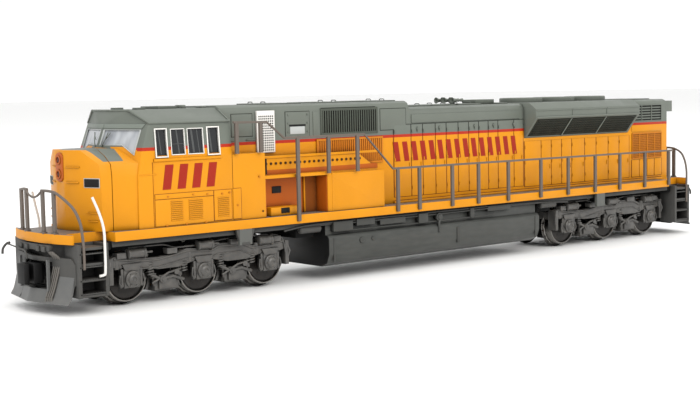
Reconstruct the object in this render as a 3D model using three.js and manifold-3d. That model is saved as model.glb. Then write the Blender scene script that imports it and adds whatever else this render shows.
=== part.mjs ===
// Model diesel locomotive: a six-axle road engine at 1:160, in millimetres.
// +X points to the cab end, +Y to the engine's left side and +Z up. The origin is under the middle of the
// engine at the lowest point of the wheel flanges. Inside, heights count from the top of the rail.
import * as THREE from "three";
import { ConvexGeometry } from "three/addons/geometries/ConvexGeometry.js";
import { mergeVertices } from "three/addons/utils/BufferGeometryUtils.js";
import Module from "manifold-3d";

const wasm = await Module();
wasm.setup();

// ---- Driving dimensions ----
const COUPLED_LENGTH = 152.7; // between the two coupler faces
const BODY_WIDTH = 19.5; // over the side sills
const RUNNING_GAP = 0.1; // between a turning part and what it turns in
const FIT_GAP = 0.05; // between two fixed parts, one inside the other

const AXLE_SETBACK = 14.35; // from a coupler's face to the nearest axle
const AXLE_SPACING = 12.8;
const WHEEL_RADIUS = 3.5;
const FLANGE_DEPTH = 0.55;
const WHEEL_INNER = 3.7; // from the middle of the axle to the back of a wheel
const WHEEL_WIDTH = 1.6;
const AXLE_RADIUS = 0.75;

const DECK_TOP = 11.1;
const DECK_THICKNESS = 1.4;
const SILL_FRONT_SETBACK = 10.35; // this and the other setbacks are measured from the coupler's face
const SILL_REAR_SETBACK = 11.15;
const PLATFORM_INSET = 3.35; // of the platform's side from the side sill
const END_SILL_SETBACK = 2.35;
const END_SILL_INSET = 0.89;
const STEP_WELL_SETBACK = 4.15;
const STEP_WELL_LENGTH = 5.0;
const STEP_COUNT = 4;
const STEP_BOTTOM = 2.0;

const WALL = 0.8; // of the body shells
const HOOD_WIDTH = 12.6;
const HOOD_SETBACK = 7.35;
const HOOD_TOP = 27.8;
const TALL_HOOD_TOP = 28.9;
const TALL_HOOD_LENGTH = 40.1;
const CAB_SETBACK = 31.55; // of the cab's rear wall
const CAB_INSET = 0.35; // of the cab's side from the side sill
const CAB_ROOF = 28.65;
const EAVE_HEIGHT = 26.6;
const BELT_HEIGHT = 21.7;
const NOSE_HEIGHT = 22.95;
const NOSE_SEAM_SETBACK = 11.05;
const WINDOW_TOP = 25.75;
const WINDOW_BOTTOM = 21.8;

const RADIATOR_SETBACK = 20.35;
const RADIATOR_LENGTH = 31.1;
const RADIATOR_FOOT = 21.2;
const RADIATOR_EDGE_LOW = 25.0;
const RADIATOR_EDGE_HIGH = 26.7;
const RADIATOR_TOP = 27.9;

const TANK_CLEARANCE = 7.1; // from a truck's inner end
const TANK_INSET = 0.45;
const TANK_BOTTOM = 1.8;
const TANK_TOP = 7.1;

const CHASSIS_INSET = 0.6; // from the hood's inner wall
const MOTOR_COVER = 2.37; // of the chassis above the motor
const TRUCK_CLEARANCE = 0.38; // under the chassis
const CHASSIS_SETBACK = 15.35;
const CHASSIS_SPLIT = 0.3;

const GEAR_MODULE = 0.4;
const GEAR_WIDTH = 1.4;
const AXLE_TEETH = 12;
const TOWER_TEETH = 16;
const WORM_RADIUS = 1.3;
const IDLER_LIFT = 2.5; // of the idler's centre over the axle's
const MOTOR_LENGTH = 19;
const MOTOR_INSET = 0.3; // from the chassis's side

const COUPLER_HEIGHT = 5.2;
const COUPLER_SHANK = 7.75; // from the pivot to the face

// ---- Materials ----
const paint = (color, roughness = 0.45, metalness = 0) =>
  new THREE.MeshStandardMaterial({ color, roughness, metalness });
const YELLOW = paint(0xf0a519);
const ROOF_GRAY = paint(0x878c82);
const UNDERFRAME_GRAY = paint(0x6e6e6e, 0.6);
const TRUCK_GRAY = paint(0x5a5a5a, 0.6);
const RAIL_GRAY = paint(0x78706a, 0.55);
const GRILLE_BLACK = paint(0x20241f, 0.7);
const WHITE = paint(0xf0f0ea);
const CLEAR = paint(0xdfe8ea, 0.1);
const BLACK = paint(0x151515, 0.6);
const CAST_METAL = paint(0x8f9194, 0.5, 0.9);
const WHEEL_METAL = paint(0x4a4846, 0.35, 0.9);
const BRASS = paint(0xb08d4a, 0.35, 1);
const STEEL = paint(0xb5b7ba, 0.3, 1);
const MOTOR_STEEL = paint(0x9a9da0, 0.35, 1);
const BOARD_GREEN = paint(0x2f6b3a, 0.6);
const ACETAL = paint(0xe9e6dc, 0.5);

// ---- Geometry helpers ----
// One closed body facing outwards, with shared vertices and no collapsed faces.
function closed(geometry) {
  const bare = new THREE.BufferGeometry();
  bare.setAttribute("position", geometry.getAttribute("position").clone());
  if (geometry.index) bare.setIndex(geometry.index.clone());
  const merged = mergeVertices(bare, 1e-4);
  const position = merged.getAttribute("position");
  const faces = [];
  let volume = 0;
  for (let i = 0; i < merged.index.count; i += 3) {
    const [a, b, c] = [0, 1, 2].map((k) => merged.index.getX(i + k));
    if (a === b || b === c || c === a) continue;
    faces.push([a, b, c]);
    const [p, q, r] = [a, b, c].map((k) => new THREE.Vector3().fromBufferAttribute(position, k));
    volume += p.dot(q.cross(r));
  }
  merged.setIndex((volume < 0 ? faces.map(([a, b, c]) => [a, c, b]) : faces).flat());
  return merged;
}

const toSolid = (geometry) => {
  const body = closed(geometry);
  return new wasm.Manifold(
    new wasm.Mesh({
      numProp: 3,
      vertProperties: new Float32Array(body.getAttribute("position").array),
      triVerts: new Uint32Array(body.index.array),
    }),
  );
};

function toGeometry(solid) {
  const mesh = solid.getMesh();
  const positions = [];
  for (let i = 0; i < mesh.numVert; i++) {
    positions.push(...mesh.vertProperties.subarray(i * mesh.numProp, i * mesh.numProp + 3));
  }
  const geometry = new THREE.BufferGeometry();
  geometry.setAttribute("position", new THREE.Float32BufferAttribute(positions, 3));
  geometry.setIndex([...mesh.triVerts]);
  return geometry;
}

const join = (...pieces) => toGeometry(pieces.map(toSolid).reduce((a, b) => a.add(b)));
const cut = (body, ...tools) => toGeometry(tools.map(toSolid).reduce((a, b) => a.subtract(b), toSolid(body)));
const overlap = (a, b) => toGeometry(toSolid(a).intersect(toSolid(b)));

const box = (x0, x1, y0, y1, z0, z1) =>
  new THREE.BoxGeometry(x1 - x0, y1 - y0, z1 - z0).translate((x0 + x1) / 2, (y0 + y1) / 2, (z0 + z1) / 2);

const shapeOf = (points) => new THREE.Shape(points.map(([u, v]) => new THREE.Vector2(u, v)));

const extrude = (shape, depth) => new THREE.ExtrudeGeometry(shape, { depth, bevelEnabled: false });

// Outlines in the (x, y), (x, z) and (y, z) planes, pushed along the third axis.
const prismZ = (points, z0, z1) => extrude(shapeOf(points), z1 - z0).translate(0, 0, z0);
const prismY = (points, y0, y1) => extrude(shapeOf(points), y1 - y0).rotateX(Math.PI / 2).translate(0, y1, 0);
const CYCLE = new THREE.Matrix4().makeBasis(
  new THREE.Vector3(0, 1, 0),
  new THREE.Vector3(0, 0, 1),
  new THREE.Vector3(1, 0, 0),
);
const prismX = (points, x0, x1) => extrude(shapeOf(points), x1 - x0).applyMatrix4(CYCLE).translate(x0, 0, 0);

// Turned shapes: the profile is [place along the axis, radius], from one end of the axis to the other.
const turned = (profile, segments) =>
  new THREE.LatheGeometry(profile.map(([along, radius]) => new THREE.Vector2(radius, along)), segments);
const turnedX = (profile, segments = 16) => turned(profile, segments).rotateZ(-Math.PI / 2);
const turnedY = (profile, segments = 20) => turned(profile, segments);
const turnedZ = (profile, segments = 16) => turned(profile, segments).rotateX(Math.PI / 2);
const bar = (from, to, radius) => [[from, 0], [from, radius], [to, radius], [to, 0]];

const mirrorY = (geometry) => closed(geometry.clone().scale(1, -1, 1));
const mirrorX = (geometry) => closed(geometry.clone().scale(-1, 1, 1));
const bothSides = (points) => [...points, ...points.map(([u, v]) => [-u, v]).reverse()];

// A round bar along a smooth curve through the points.
function rod(points, radius, steps, sides = 6) {
  const curve = new THREE.CatmullRomCurve3(points.map((p) => new THREE.Vector3(...p)), false, "chordal");
  const section = new THREE.Shape();
  for (let i = 0; i < sides; i++) {
    const angle = (2 * Math.PI * i) / sides;
    section[i ? "lineTo" : "moveTo"](radius * Math.cos(angle), radius * Math.sin(angle));
  }
  return new THREE.ExtrudeGeometry(section, { steps, extrudePath: curve, bevelEnabled: false });
}

// ---- The assembly ----
const locomotive = new THREE.Group();
const body = new THREE.Group();
body.position.z = FLANGE_DEPTH;
locomotive.add(body);

function part(name, geometry, material, parent = body) {
  const mesh = new THREE.Mesh(closed(geometry), material);
  mesh.name = name;
  parent.add(mesh);
  return mesh;
}

function pair(name, leftGeometry, material) {
  part(`${name}_left`, leftGeometry, material);
  part(`${name}_right`, mirrorY(leftGeometry), material);
}

const faceX = COUPLED_LENGTH / 2;
const fromFace = (setback) => faceX - setback;
const halfTruckCentres = fromFace(AXLE_SETBACK + AXLE_SPACING);
const truckReach = AXLE_SPACING + 3.6;
const sideY = BODY_WIDTH / 2;
const deckBottom = DECK_TOP - DECK_THICKNESS;
const platformY = sideY - PLATFORM_INSET;
const endSillY = sideY - END_SILL_INSET;
const stepWellOuter = fromFace(STEP_WELL_SETBACK);
const stepWellInner = stepWellOuter - STEP_WELL_LENGTH;
const chassisEnd = fromFace(CHASSIS_SETBACK);
const cabRear = fromFace(CAB_SETBACK);
const tallHoodRear = cabRear - TALL_HOOD_LENGTH;
const hoodRear = fromFace(HOOD_SETBACK);
const radiatorRear = fromFace(RADIATOR_SETBACK);
const radiatorFront = radiatorRear - RADIATOR_LENGTH;
const couplerPivot = fromFace(COUPLER_SHANK);
const pitchRadius = (teeth) => (teeth * GEAR_MODULE) / 2;

// The idler is just large enough to span from the axle gear to the tower gear at a slight angle.
const idlerTeeth = Math.ceil((1.06 * AXLE_SPACING) / GEAR_MODULE - (AXLE_TEETH + TOWER_TEETH) / 2);

// Gear train of one truck, in its own plane: each axle gear, an idler over it, and one tower gear between.
const idlerReach = pitchRadius(AXLE_TEETH) + pitchRadius(idlerTeeth);
const idlerX = AXLE_SPACING - Math.sqrt(idlerReach ** 2 - IDLER_LIFT ** 2);
const idlerZ = WHEEL_RADIUS + IDLER_LIFT;
const towerReach = pitchRadius(TOWER_TEETH) + pitchRadius(idlerTeeth);
const towerZ = idlerZ + Math.sqrt(towerReach ** 2 - idlerX ** 2);
const shaftZ = towerZ + pitchRadius(TOWER_TEETH) + WORM_RADIUS;
const gearTip = 0.8 * GEAR_MODULE; // above the pitch circle
const caseTop = idlerZ + pitchRadius(idlerTeeth) + gearTip + 0.7;

const hoodY = HOOD_WIDTH / 2;
const chassisY = hoodY - WALL - CHASSIS_INSET;
const motorHalf = chassisY - MOTOR_INSET;
const flywheelRadius = motorHalf - 0.4;
const chassisUnderside = caseTop + TRUCK_CLEARANCE;
const chassisTop = shaftZ + motorHalf + MOTOR_COVER;

// ---- Walkway: deck, side sills and end sills in one moulding ----
const endSillX = fromFace(END_SILL_SETBACK);
function walkway() {
  const end = (sill) => [
    [sill, sideY],
    [sill, platformY],
    [stepWellOuter, platformY],
    [stepWellOuter, endSillY],
    [endSillX - 1.5, endSillY],
    [endSillX - 0.6, endSillY - 2.86],
    [endSillX, 2.2],
  ];
  const sillFront = fromFace(SILL_FRONT_SETBACK);
  const sillRear = fromFace(SILL_REAR_SETBACK);
  const front = [...end(sillFront), ...end(sillFront).map(([x, y]) => [x, -y]).reverse()];
  const rear = [...end(sillRear), ...end(sillRear).map(([x, y]) => [x, -y]).reverse()];
  const outline = [...front.reverse(), ...rear.map(([x, y]) => [-x, y])];
  const well = chassisY + FIT_GAP;
  const wellEnd = halfTruckCentres + truckReach + 0.6;
  const jackingPad = (x) => box(x - 1.2, x + 1.2, sideY - 0.7, sideY - 0.1, deckBottom - 2.5, deckBottom + 0.2);
  return join(
    cut(prismZ(outline, deckBottom, DECK_TOP), box(-wellEnd, wellEnd, -well, well, 0, 2 * DECK_TOP)),
    ...[halfTruckCentres - 6.5, 5.8 - halfTruckCentres].flatMap((x) => [jackingPad(x), mirrorY(jackingPad(x))]),
  );
}
part("walkway", walkway(), YELLOW);

// ---- Pilots: plow, coupler opening and step wells ----
const PLOW_INSET = 0.55;
const PLOW_SWEEP = 0.2; // set back per millimetre off the centre line
const PLOW_SETBACK = 2.15;
const PLOW_THICKNESS = 0.7;
const PLOW_TOP = 7.7;
const PLOW_BOTTOM = 1.1;
const OPENING_HALF_WIDTH = 4.2;
const OPENING_BOTTOM = 3.0;
const OPENING_TOP = 7.0;
const PIN_RADIUS = 0.45;
const SHELF = [7.2, 7.7];
function pilot() {
  const plowY = sideY - PLOW_INSET;
  const plowX = fromFace(PLOW_SETBACK);
  const blade = prismX(
    [
      [0, PLOW_BOTTOM],
      [4.5, PLOW_BOTTOM],
      [plowY, PLOW_BOTTOM + 2.8],
      [plowY, PLOW_TOP - 0.9],
      [plowY - 0.9, PLOW_TOP],
      [0, PLOW_TOP],
    ],
    plowX - PLOW_THICKNESS,
    plowX,
  ).applyMatrix4(new THREE.Matrix4().makeShear(0, 0, -PLOW_SWEEP, 0, 0, 0));
  const stringer = 0.6;
  const tread = 0.4;
  const rise = (DECK_TOP - STEP_BOTTOM) / STEP_COUNT;
  const well = [
    box(stepWellInner, stepWellOuter, platformY - 0.4, platformY, STEP_BOTTOM, deckBottom),
    box(stepWellInner, stepWellInner + stringer, platformY - 0.4, sideY, STEP_BOTTOM, deckBottom),
    box(stepWellOuter - stringer, stepWellOuter, platformY - 0.4, sideY, STEP_BOTTOM, deckBottom),
  ];
  for (let i = 0; i < STEP_COUNT; i++) {
    const z = Math.min(STEP_BOTTOM + i * rise, deckBottom - tread);
    well.push(box(stepWellInner, stepWellOuter, platformY - 0.4, sideY - 0.1, z, z + tread));
  }
  const plateX = stepWellInner + 3.2;
  const plate = box(plateX, plateX + WALL, -platformY, platformY, OPENING_BOTTOM, deckBottom);
  const opening = box(plateX - 3, faceX, -OPENING_HALF_WIDTH, OPENING_HALF_WIDTH, OPENING_BOTTOM, OPENING_TOP);
  return join(
    cut(join(blade, mirrorY(blade), plate), opening),
    ...well,
    ...well.map(mirrorY),
    box(stepWellInner, plateX + 0.2, -2, 2, ...SHELF),
    turnedZ(bar(COUPLER_HEIGHT - 0.9, SHELF[0] + 0.2, PIN_RADIUS), 12).translate(couplerPivot, 0, 0),
  );
}
part("front_pilot", pilot(), UNDERFRAME_GRAY);
part("rear_pilot", mirrorX(pilot()), UNDERFRAME_GRAY);

// ---- Couplers: a shank on the pilot's pin and a square head ----
function coupler() {
  const eye = turnedZ(bar(COUPLER_HEIGHT - 0.7, COUPLER_HEIGHT + 0.7, 1.1), 12).translate(couplerPivot, 0, 0);
  const shank = box(couplerPivot, faceX - 3, -0.7, 0.7, COUPLER_HEIGHT - 0.7, COUPLER_HEIGHT + 0.7);
  const head = prismZ(
    [
      [faceX - 3.4, -1.0],
      [faceX - 0.6, -1.3],
      [faceX, -0.9],
      [faceX, 1.3],
      [faceX - 2.8, 1.3],
      [faceX - 3.4, 0.9],
    ],
    COUPLER_HEIGHT - 1.5,
    COUPLER_HEIGHT + 1.5,
  );
  const knuckleSlot = box(faceX - 1.5, faceX - 0.8, -0.3, 2, COUPLER_HEIGHT - 1.6, COUPLER_HEIGHT + 1.6);
  const bore = turnedZ(bar(0, 12, PIN_RADIUS + RUNNING_GAP), 12).translate(couplerPivot, 0, 0);
  return cut(join(eye, shank, head), knuckleSlot, bore);
}
part("front_coupler", coupler(), BLACK);
part("rear_coupler", mirrorX(coupler()), BLACK);

// ---- Fuel tank with its saddle, open on top round the chassis ----
const tankEnd = halfTruckCentres - truckReach - TANK_CLEARANCE;
const tankY = sideY - TANK_INSET;
const tankCurve = 2.2;
function fuelTank() {
  const section = bothSides([
    [tankY - tankCurve, TANK_BOTTOM],
    [tankY - 0.3 * tankCurve, TANK_BOTTOM + 0.3 * tankCurve],
    [tankY, TANK_BOTTOM + tankCurve],
    [tankY, TANK_TOP - 0.5],
    [tankY - 0.5, TANK_TOP],
  ]);
  const pocket = chassisY + FIT_GAP;
  return cut(
    join(
      prismX(section, -tankEnd, tankEnd),
      box(-tankEnd, tankEnd, -tankY + 1, tankY - 1, TANK_TOP - 1, deckBottom),
    ),
    box(-tankEnd + WALL, tankEnd - WALL, -pocket, pocket, TANK_BOTTOM + WALL, 2 * DECK_TOP),
    box(-tankEnd - 1, tankEnd + 1, -pocket, pocket, chassisUnderside - FIT_GAP, 2 * DECK_TOP),
  );
}
part("fuel_tank", fuelTank(), UNDERFRAME_GRAY);

// ---- Die-cast chassis in two halves, hollowed for the drive line ----
function chassisHalf() {
  const end = chassisEnd;
  const blockEnd = tankEnd - WALL - FIT_GAP;
  const blockBottom = TANK_BOTTOM + WALL + FIT_GAP;
  const outline = [
    [end, chassisTop],
    [end, chassisUnderside],
    [blockEnd, chassisUnderside],
    [blockEnd, blockBottom],
    ...[[blockEnd, blockBottom], [blockEnd, chassisUnderside], [end, chassisUnderside], [end, chassisTop]].map(
      ([x, z]) => [-x, z],
    ),
  ];
  const driveEnd = halfTruckCentres + 7;
  const wormPocket = (x) => box(x - 4.4, x + 4.4, -2.2, 2.2, blockBottom + 1, shaftZ + 2.1);
  return cut(
    prismY(outline, CHASSIS_SPLIT / 2, chassisY),
    box(-17.5, 17.5, -9, 9, shaftZ - motorHalf, shaftZ + motorHalf),
    box(-driveEnd, driveEnd, -1.3, 1.3, shaftZ - 1.35, shaftZ + 1.35),
    wormPocket(halfTruckCentres),
    wormPocket(-halfTruckCentres),
  );
}
pair("chassis_half", chassisHalf(), CAST_METAL);

const boardY = hoodY - 1.9;
const boardTop = chassisTop + WALL;
part("light_board", box(1 - chassisEnd, chassisEnd - 4, -boardY, boardY, chassisTop, boardTop), BOARD_GREEN);

// ---- Drive line: everything on the motor's shaft line turns together ----
const shaftRadius = 0.75;
const armatureRadius = motorHalf - 1.4;
const shaftEnd = 17.3;
const flywheelStart = 11;
const flywheelEnd = 16.8;
function motorCase() {
  const half = MOTOR_LENGTH / 2;
  const corner = 1.6;
  const section = [
    [motorHalf, -motorHalf + corner],
    [motorHalf, motorHalf - corner],
    [motorHalf - corner, motorHalf],
    [-motorHalf + corner, motorHalf],
    [-motorHalf, motorHalf - corner],
    [-motorHalf, -motorHalf + corner],
    [-motorHalf + corner, -motorHalf],
    [motorHalf - corner, -motorHalf],
  ];
  return cut(
    prismX(section, -half, half),
    turnedX(bar(1.2 - half, half - 1.2, motorHalf - 0.7)),
    turnedX(bar(-half - 1, half + 1, shaftRadius + 2 * RUNNING_GAP)),
  ).translate(0, 0, shaftZ);
}
part("motor_case", motorCase(), MOTOR_STEEL);

const line = new THREE.Group();
line.position.z = shaftZ;
body.add(line);
part(
  "motor_armature",
  turnedX([
    [-shaftEnd, 0], [-shaftEnd, shaftRadius], [-6, shaftRadius], [-6, armatureRadius],
    [4.5, armatureRadius], [4.5, 1.6],
    [7.4, 1.6], [7.4, shaftRadius], [shaftEnd, shaftRadius], [shaftEnd, 0],
  ]),
  STEEL,
  line,
);
const flywheel = cut(
  turnedX(bar(flywheelStart, flywheelEnd, flywheelRadius)),
  turnedX(bar(0, 20, shaftRadius + FIT_GAP)),
);
part("front_flywheel", flywheel, BRASS, line);
part("rear_flywheel", mirrorX(flywheel), BRASS, line);

const wormShaftHalf = 5.1;
const wormEnd = halfTruckCentres - wormShaftHalf;
const cardan = turnedX([
  [shaftEnd + FIT_GAP, 0], [shaftEnd + FIT_GAP, 1.15], [shaftEnd + 2.2, 1.15], [shaftEnd + 2.8, 0.6],
  [wormEnd - 2.8, 0.6], [wormEnd - 2.2, 1.15], [wormEnd - FIT_GAP, 1.15], [wormEnd - FIT_GAP, 0],
], 12);
part("front_cardan_shaft", cardan, ACETAL, line);
part("rear_cardan_shaft", mirrorX(cardan), ACETAL, line);

// A right-handed single-start worm with a tooth under its middle.
function worm() {
  const lead = Math.PI * GEAR_MODULE;
  const turns = 3;
  const stepsPerTurn = 10;
  const steps = turns * stepsPerTurn;
  const rootRadius = WORM_RADIUS - 1.25 * GEAR_MODULE;
  const tipRadius = WORM_RADIUS + 0.75 * GEAR_MODULE;
  const [foot, crest] = [0.75 * GEAR_MODULE, 0.25 * GEAR_MODULE];
  const section = [[-foot, rootRadius], [-crest, tipRadius], [crest, tipRadius], [foot, rootRadius]];
  const positions = [];
  for (let i = 0; i <= steps; i++) {
    const angle = (2 * Math.PI * (i - steps / 2)) / stepsPerTurn;
    for (const [along, radius] of section) {
      positions.push((lead * angle) / (2 * Math.PI) + along, radius * Math.sin(angle), -radius * Math.cos(angle));
    }
  }
  const faces = [];
  const n = section.length;
  for (let i = 0; i < steps; i++) {
    for (let k = 0; k < n; k++) {
      const [a, b, c, d] = [i * n + k, i * n + ((k + 1) % n), (i + 1) * n + ((k + 1) % n), (i + 1) * n + k];
      faces.push(a, b, c, a, c, d);
    }
  }
  const last = steps * n;
  faces.push(0, 2, 1, 0, 3, 2, last, last + 1, last + 2, last, last + 2, last + 3);
  const thread = new THREE.BufferGeometry();
  thread.setAttribute("position", new THREE.Float32BufferAttribute(positions, 3));
  thread.setIndex(faces);
  const core = turnedX([
    [-wormShaftHalf, 0], [-wormShaftHalf, shaftRadius], [-3.4, shaftRadius], [-3.4, rootRadius + 0.08],
    [3.4, rootRadius + 0.08], [3.4, shaftRadius], [wormShaftHalf, shaftRadius], [wormShaftHalf, 0],
  ], 12);
  return join(core, thread);
}
part("front_worm", worm(), BRASS, line).position.x = halfTruckCentres;
part("rear_worm", worm(), BRASS, line).position.x = -halfTruckCentres;

// ---- Trucks ----
// Straight-sided teeth, thin enough to run free in mesh. The phase is the angle of one tooth from +X towards +Z.
function gear(teeth, phase) {
  const pitch = (2 * Math.PI) / teeth;
  const radius = pitchRadius(teeth);
  const root = radius - 1.15 * GEAR_MODULE;
  const tip = radius + gearTip;
  const points = [];
  for (let i = 0; i < teeth; i++) {
    const middle = phase + i * pitch;
    for (const [share, r] of [[-0.26, root], [-0.09, tip], [0.09, tip], [0.26, root]]) {
      points.push([r * Math.cos(middle + share * pitch), r * Math.sin(middle + share * pitch)]);
    }
  }
  return prismY(points, -GEAR_WIDTH / 2, GEAR_WIDTH / 2);
}

// The phase that puts a gear in mesh with a driving gear, seen from it in the given direction.
function meshedPhase(driverTeeth, driverPhase, direction, teeth) {
  const turns = ((direction - driverPhase) * driverTeeth) / (2 * Math.PI);
  return direction + Math.PI + (turns - Math.floor(turns) + 0.5) * ((2 * Math.PI) / teeth);
}

const towerPhase = Math.PI / 2 + Math.PI / TOWER_TEETH; // a gap under the worm's tooth
const stubRadius = 0.5;
const caseInner = GEAR_WIDTH / 2 + RUNNING_GAP + 0.15;
const caseOuter = caseInner + 0.7;
const coverTop = idlerZ - pitchRadius(idlerTeeth) - gearTip - 0.18;
const coverBottom = coverTop - 0.7;

function gearOnStub(teeth, phase) {
  return join(gear(teeth, phase), turnedY(bar(-caseOuter, caseOuter, stubRadius), 10));
}

function gearCase() {
  const caseShoulder = AXLE_SPACING - 3.3;
  const endX = truckReach;
  const outline = [
    [endX, coverTop], [endX, 6.2], [caseShoulder, caseTop],
    [-caseShoulder, caseTop], [-endX, 6.2], [-endX, coverTop],
  ];
  const plate = prismY(outline, caseInner, caseOuter);
  const web = (x0, x1, z0, z1) => box(x0, x1, -caseOuter, caseOuter, z0, z1);
  const webs = [
    web(endX - 0.6, endX, coverTop, 6),
    web(-endX, 0.6 - endX, coverTop, 6),
    web(4.6, caseShoulder - 0.1, caseTop - 0.5, caseTop),
    web(0.1 - caseShoulder, -4.6, caseTop - 0.5, caseTop),
  ];
  const bolster = cut(
    turnedZ(bar(caseTop - 0.3, chassisUnderside, chassisY - 0.3), 16),
    box(-4.2, 4.2, -WORM_RADIUS - 0.5, WORM_RADIUS + 0.5, 0, 20),
  );
  const bore = (x, z, radius) => turnedY(bar(-9, 9, radius + RUNNING_GAP), 10).translate(x, 0, z);
  return cut(
    join(plate, mirrorY(plate), ...webs, bolster),
    bore(0, towerZ, stubRadius),
    bore(idlerX, idlerZ, stubRadius),
    bore(-idlerX, idlerZ, stubRadius),
    ...[-1, 0, 1].map((i) => bore(i * AXLE_SPACING, WHEEL_RADIUS, AXLE_RADIUS)),
  );
}

// Side frames with journal boxes and brake cylinders, tied by the bottom cover.
const frameInner = 6.0;
const frameOuter = 7.3;
const journalEnd = 8.16;
function truckFrame() {
  const lugX = AXLE_SPACING / 2;
  const beamTop = 7.4;
  const beamBottom = 4.6;
  const beamEnd = truckReach - 0.2;
  const outline = [[beamEnd, 5.0], [beamEnd, beamTop], [-beamEnd, beamTop], [-beamEnd, 5.0]];
  for (const axle of [-1, 0, 1]) {
    const x = axle * AXLE_SPACING;
    outline.push([x - 1.4, beamBottom], [x - 1.3, 2.6], [x + 1.3, 2.6], [x + 1.4, beamBottom]);
    if (axle < 1) {
      outline.push([x + lugX - 1.3, beamBottom - 0.4], [x + lugX - 1.2, coverBottom]);
      outline.push([x + lugX + 1.2, coverBottom], [x + lugX + 1.3, beamBottom - 0.4]);
    }
  }
  const side = [prismY(outline, frameInner, frameOuter)];
  for (const axle of [-1, 0, 1]) {
    side.push(
      turnedY(bar(frameOuter - 0.2, journalEnd, 1.15), 8).translate(axle * AXLE_SPACING, 0, WHEEL_RADIUS + 0.1),
    );
  }
  for (const x of [-lugX - 4, lugX - 4, lugX + 4]) {
    side.push(turnedX(bar(x - 1.6, x + 1.6, 0.75), 8).translate(0, frameOuter, 6.3));
  }
  return join(
    ...side,
    ...side.map(mirrorY),
    box(3.5 - AXLE_SPACING, AXLE_SPACING - 3.5, -2.4, 2.4, coverBottom, coverTop),
    ...[-lugX, lugX].map((x) =>
      box(x - 1.2, x + 1.2, -frameInner - 0.5, frameInner + 0.5, coverBottom, coverTop),
    ),
  );
}

function wheelset(gearPhase) {
  const back = WHEEL_INNER;
  const face = WHEEL_INNER + WHEEL_WIDTH;
  const flange = WHEEL_RADIUS + FLANGE_DEPTH;
  const half = [
    [face, 0], [face, WHEEL_RADIUS], [back + 0.55, WHEEL_RADIUS], [back + 0.4, flange], [back, flange],
    [back, AXLE_RADIUS],
  ];
  const wheels = turnedY([...half, ...half.map(([y, r]) => [-y, r]).reverse()], 18);
  return gearPhase === undefined ? wheels : join(wheels, gear(AXLE_TEETH, gearPhase));
}

for (const [end, truckX] of [["front", halfTruckCentres], ["rear", -halfTruckCentres]]) {
  const truck = new THREE.Group();
  truck.position.x = truckX;
  body.add(truck);
  part(`${end}_truck_frame`, truckFrame(), TRUCK_GRAY, truck);
  part(`${end}_gear_case`, gearCase(), BLACK, truck);
  part(`${end}_tower_gear`, gearOnStub(TOWER_TEETH, towerPhase), ACETAL, truck).position.z = towerZ;
  for (const [place, side] of [["leading", 1], ["trailing", -1]]) {
    const toIdler = Math.atan2(idlerZ - towerZ, side * idlerX);
    const idlerPhase = meshedPhase(TOWER_TEETH, towerPhase, toIdler, idlerTeeth);
    const toAxle = Math.atan2(-IDLER_LIFT, side * (AXLE_SPACING - idlerX));
    const axlePhase = meshedPhase(idlerTeeth, idlerPhase, toAxle, AXLE_TEETH);
    const idler = part(`${end}_idler_gear_${place}`, gearOnStub(idlerTeeth, idlerPhase), ACETAL, truck);
    idler.position.set(side * idlerX, 0, idlerZ);
    const driven = part(`${end}_wheelset_${place}`, wheelset(axlePhase), WHEEL_METAL, truck);
    driven.position.set(side * AXLE_SPACING, 0, WHEEL_RADIUS);
  }
  part(`${end}_wheelset_middle`, wheelset(), WHEEL_METAL, truck).position.z = WHEEL_RADIUS;
}

// ---- Long hood ----
const hoodSection = (inset, top) =>
  bothSides([
    [hoodY - inset, DECK_TOP - (inset ? 1 : 0)],
    [hoodY - inset, top - inset - 1.1],
    [hoodY - inset - 0.35, top - inset - 0.35],
    [hoodY - inset - 1.1, top - inset],
  ]);
const INTAKE = { rear: cabRear - 32.4, front: cabRear - 20.4, bottom: 23.8, top: 28.1 };
const REAR_LIGHT = { halfWidth: 1.5, bottom: 23.0, top: 24.6 };
function hoodShell() {
  const overhangX = hoodRear + 2.35;
  const outer = join(
    prismX(hoodSection(0, TALL_HOOD_TOP), tallHoodRear, cabRear - FIT_GAP),
    prismX(hoodSection(0, HOOD_TOP), -hoodRear, tallHoodRear + 1),
    box(-overhangX, 1 - hoodRear, -hoodY + 0.4, hoodY - 0.4, 25.15, HOOD_TOP - 0.4),
  );
  const cavity = join(
    prismX(hoodSection(WALL, TALL_HOOD_TOP), tallHoodRear + WALL, cabRear + 1),
    prismX(hoodSection(WALL, HOOD_TOP), -hoodRear + WALL, tallHoodRear + 2),
  );
  return cut(
    outer,
    cavity,
    box(-radiatorRear, -radiatorFront, -20, 20, RADIATOR_FOOT, 40),
    box(INTAKE.rear, INTAKE.front, -20, 20, INTAKE.bottom, INTAKE.top),
    box(
      -hoodRear - 3, 2 - hoodRear,
      -REAR_LIGHT.halfWidth, REAR_LIGHT.halfWidth,
      REAR_LIGHT.bottom, REAR_LIGHT.top,
    ),
  );
}
part("hood_shell", hoodShell(), YELLOW);

// Louvred inserts in the sides of the tall hood.
function intakeGrille() {
  const frame = box(
    INTAKE.rear + FIT_GAP, INTAKE.front - FIT_GAP,
    hoodY - WALL, hoodY - 0.15,
    INTAKE.bottom + FIT_GAP, INTAKE.top - FIT_GAP,
  );
  const slots = [];
  const count = 9;
  const pitch = (INTAKE.front - INTAKE.rear) / (count + 0.5);
  for (let i = 0; i < count; i++) {
    const x = INTAKE.rear + pitch * (i + 0.5);
    slots.push(box(x, x + pitch / 2, hoodY - 0.45, hoodY, INTAKE.bottom + 0.4, INTAKE.top - 0.4));
  }
  return cut(frame, ...slots);
}
pair("intake_grille", intakeGrille(), GRILLE_BLACK);

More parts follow.
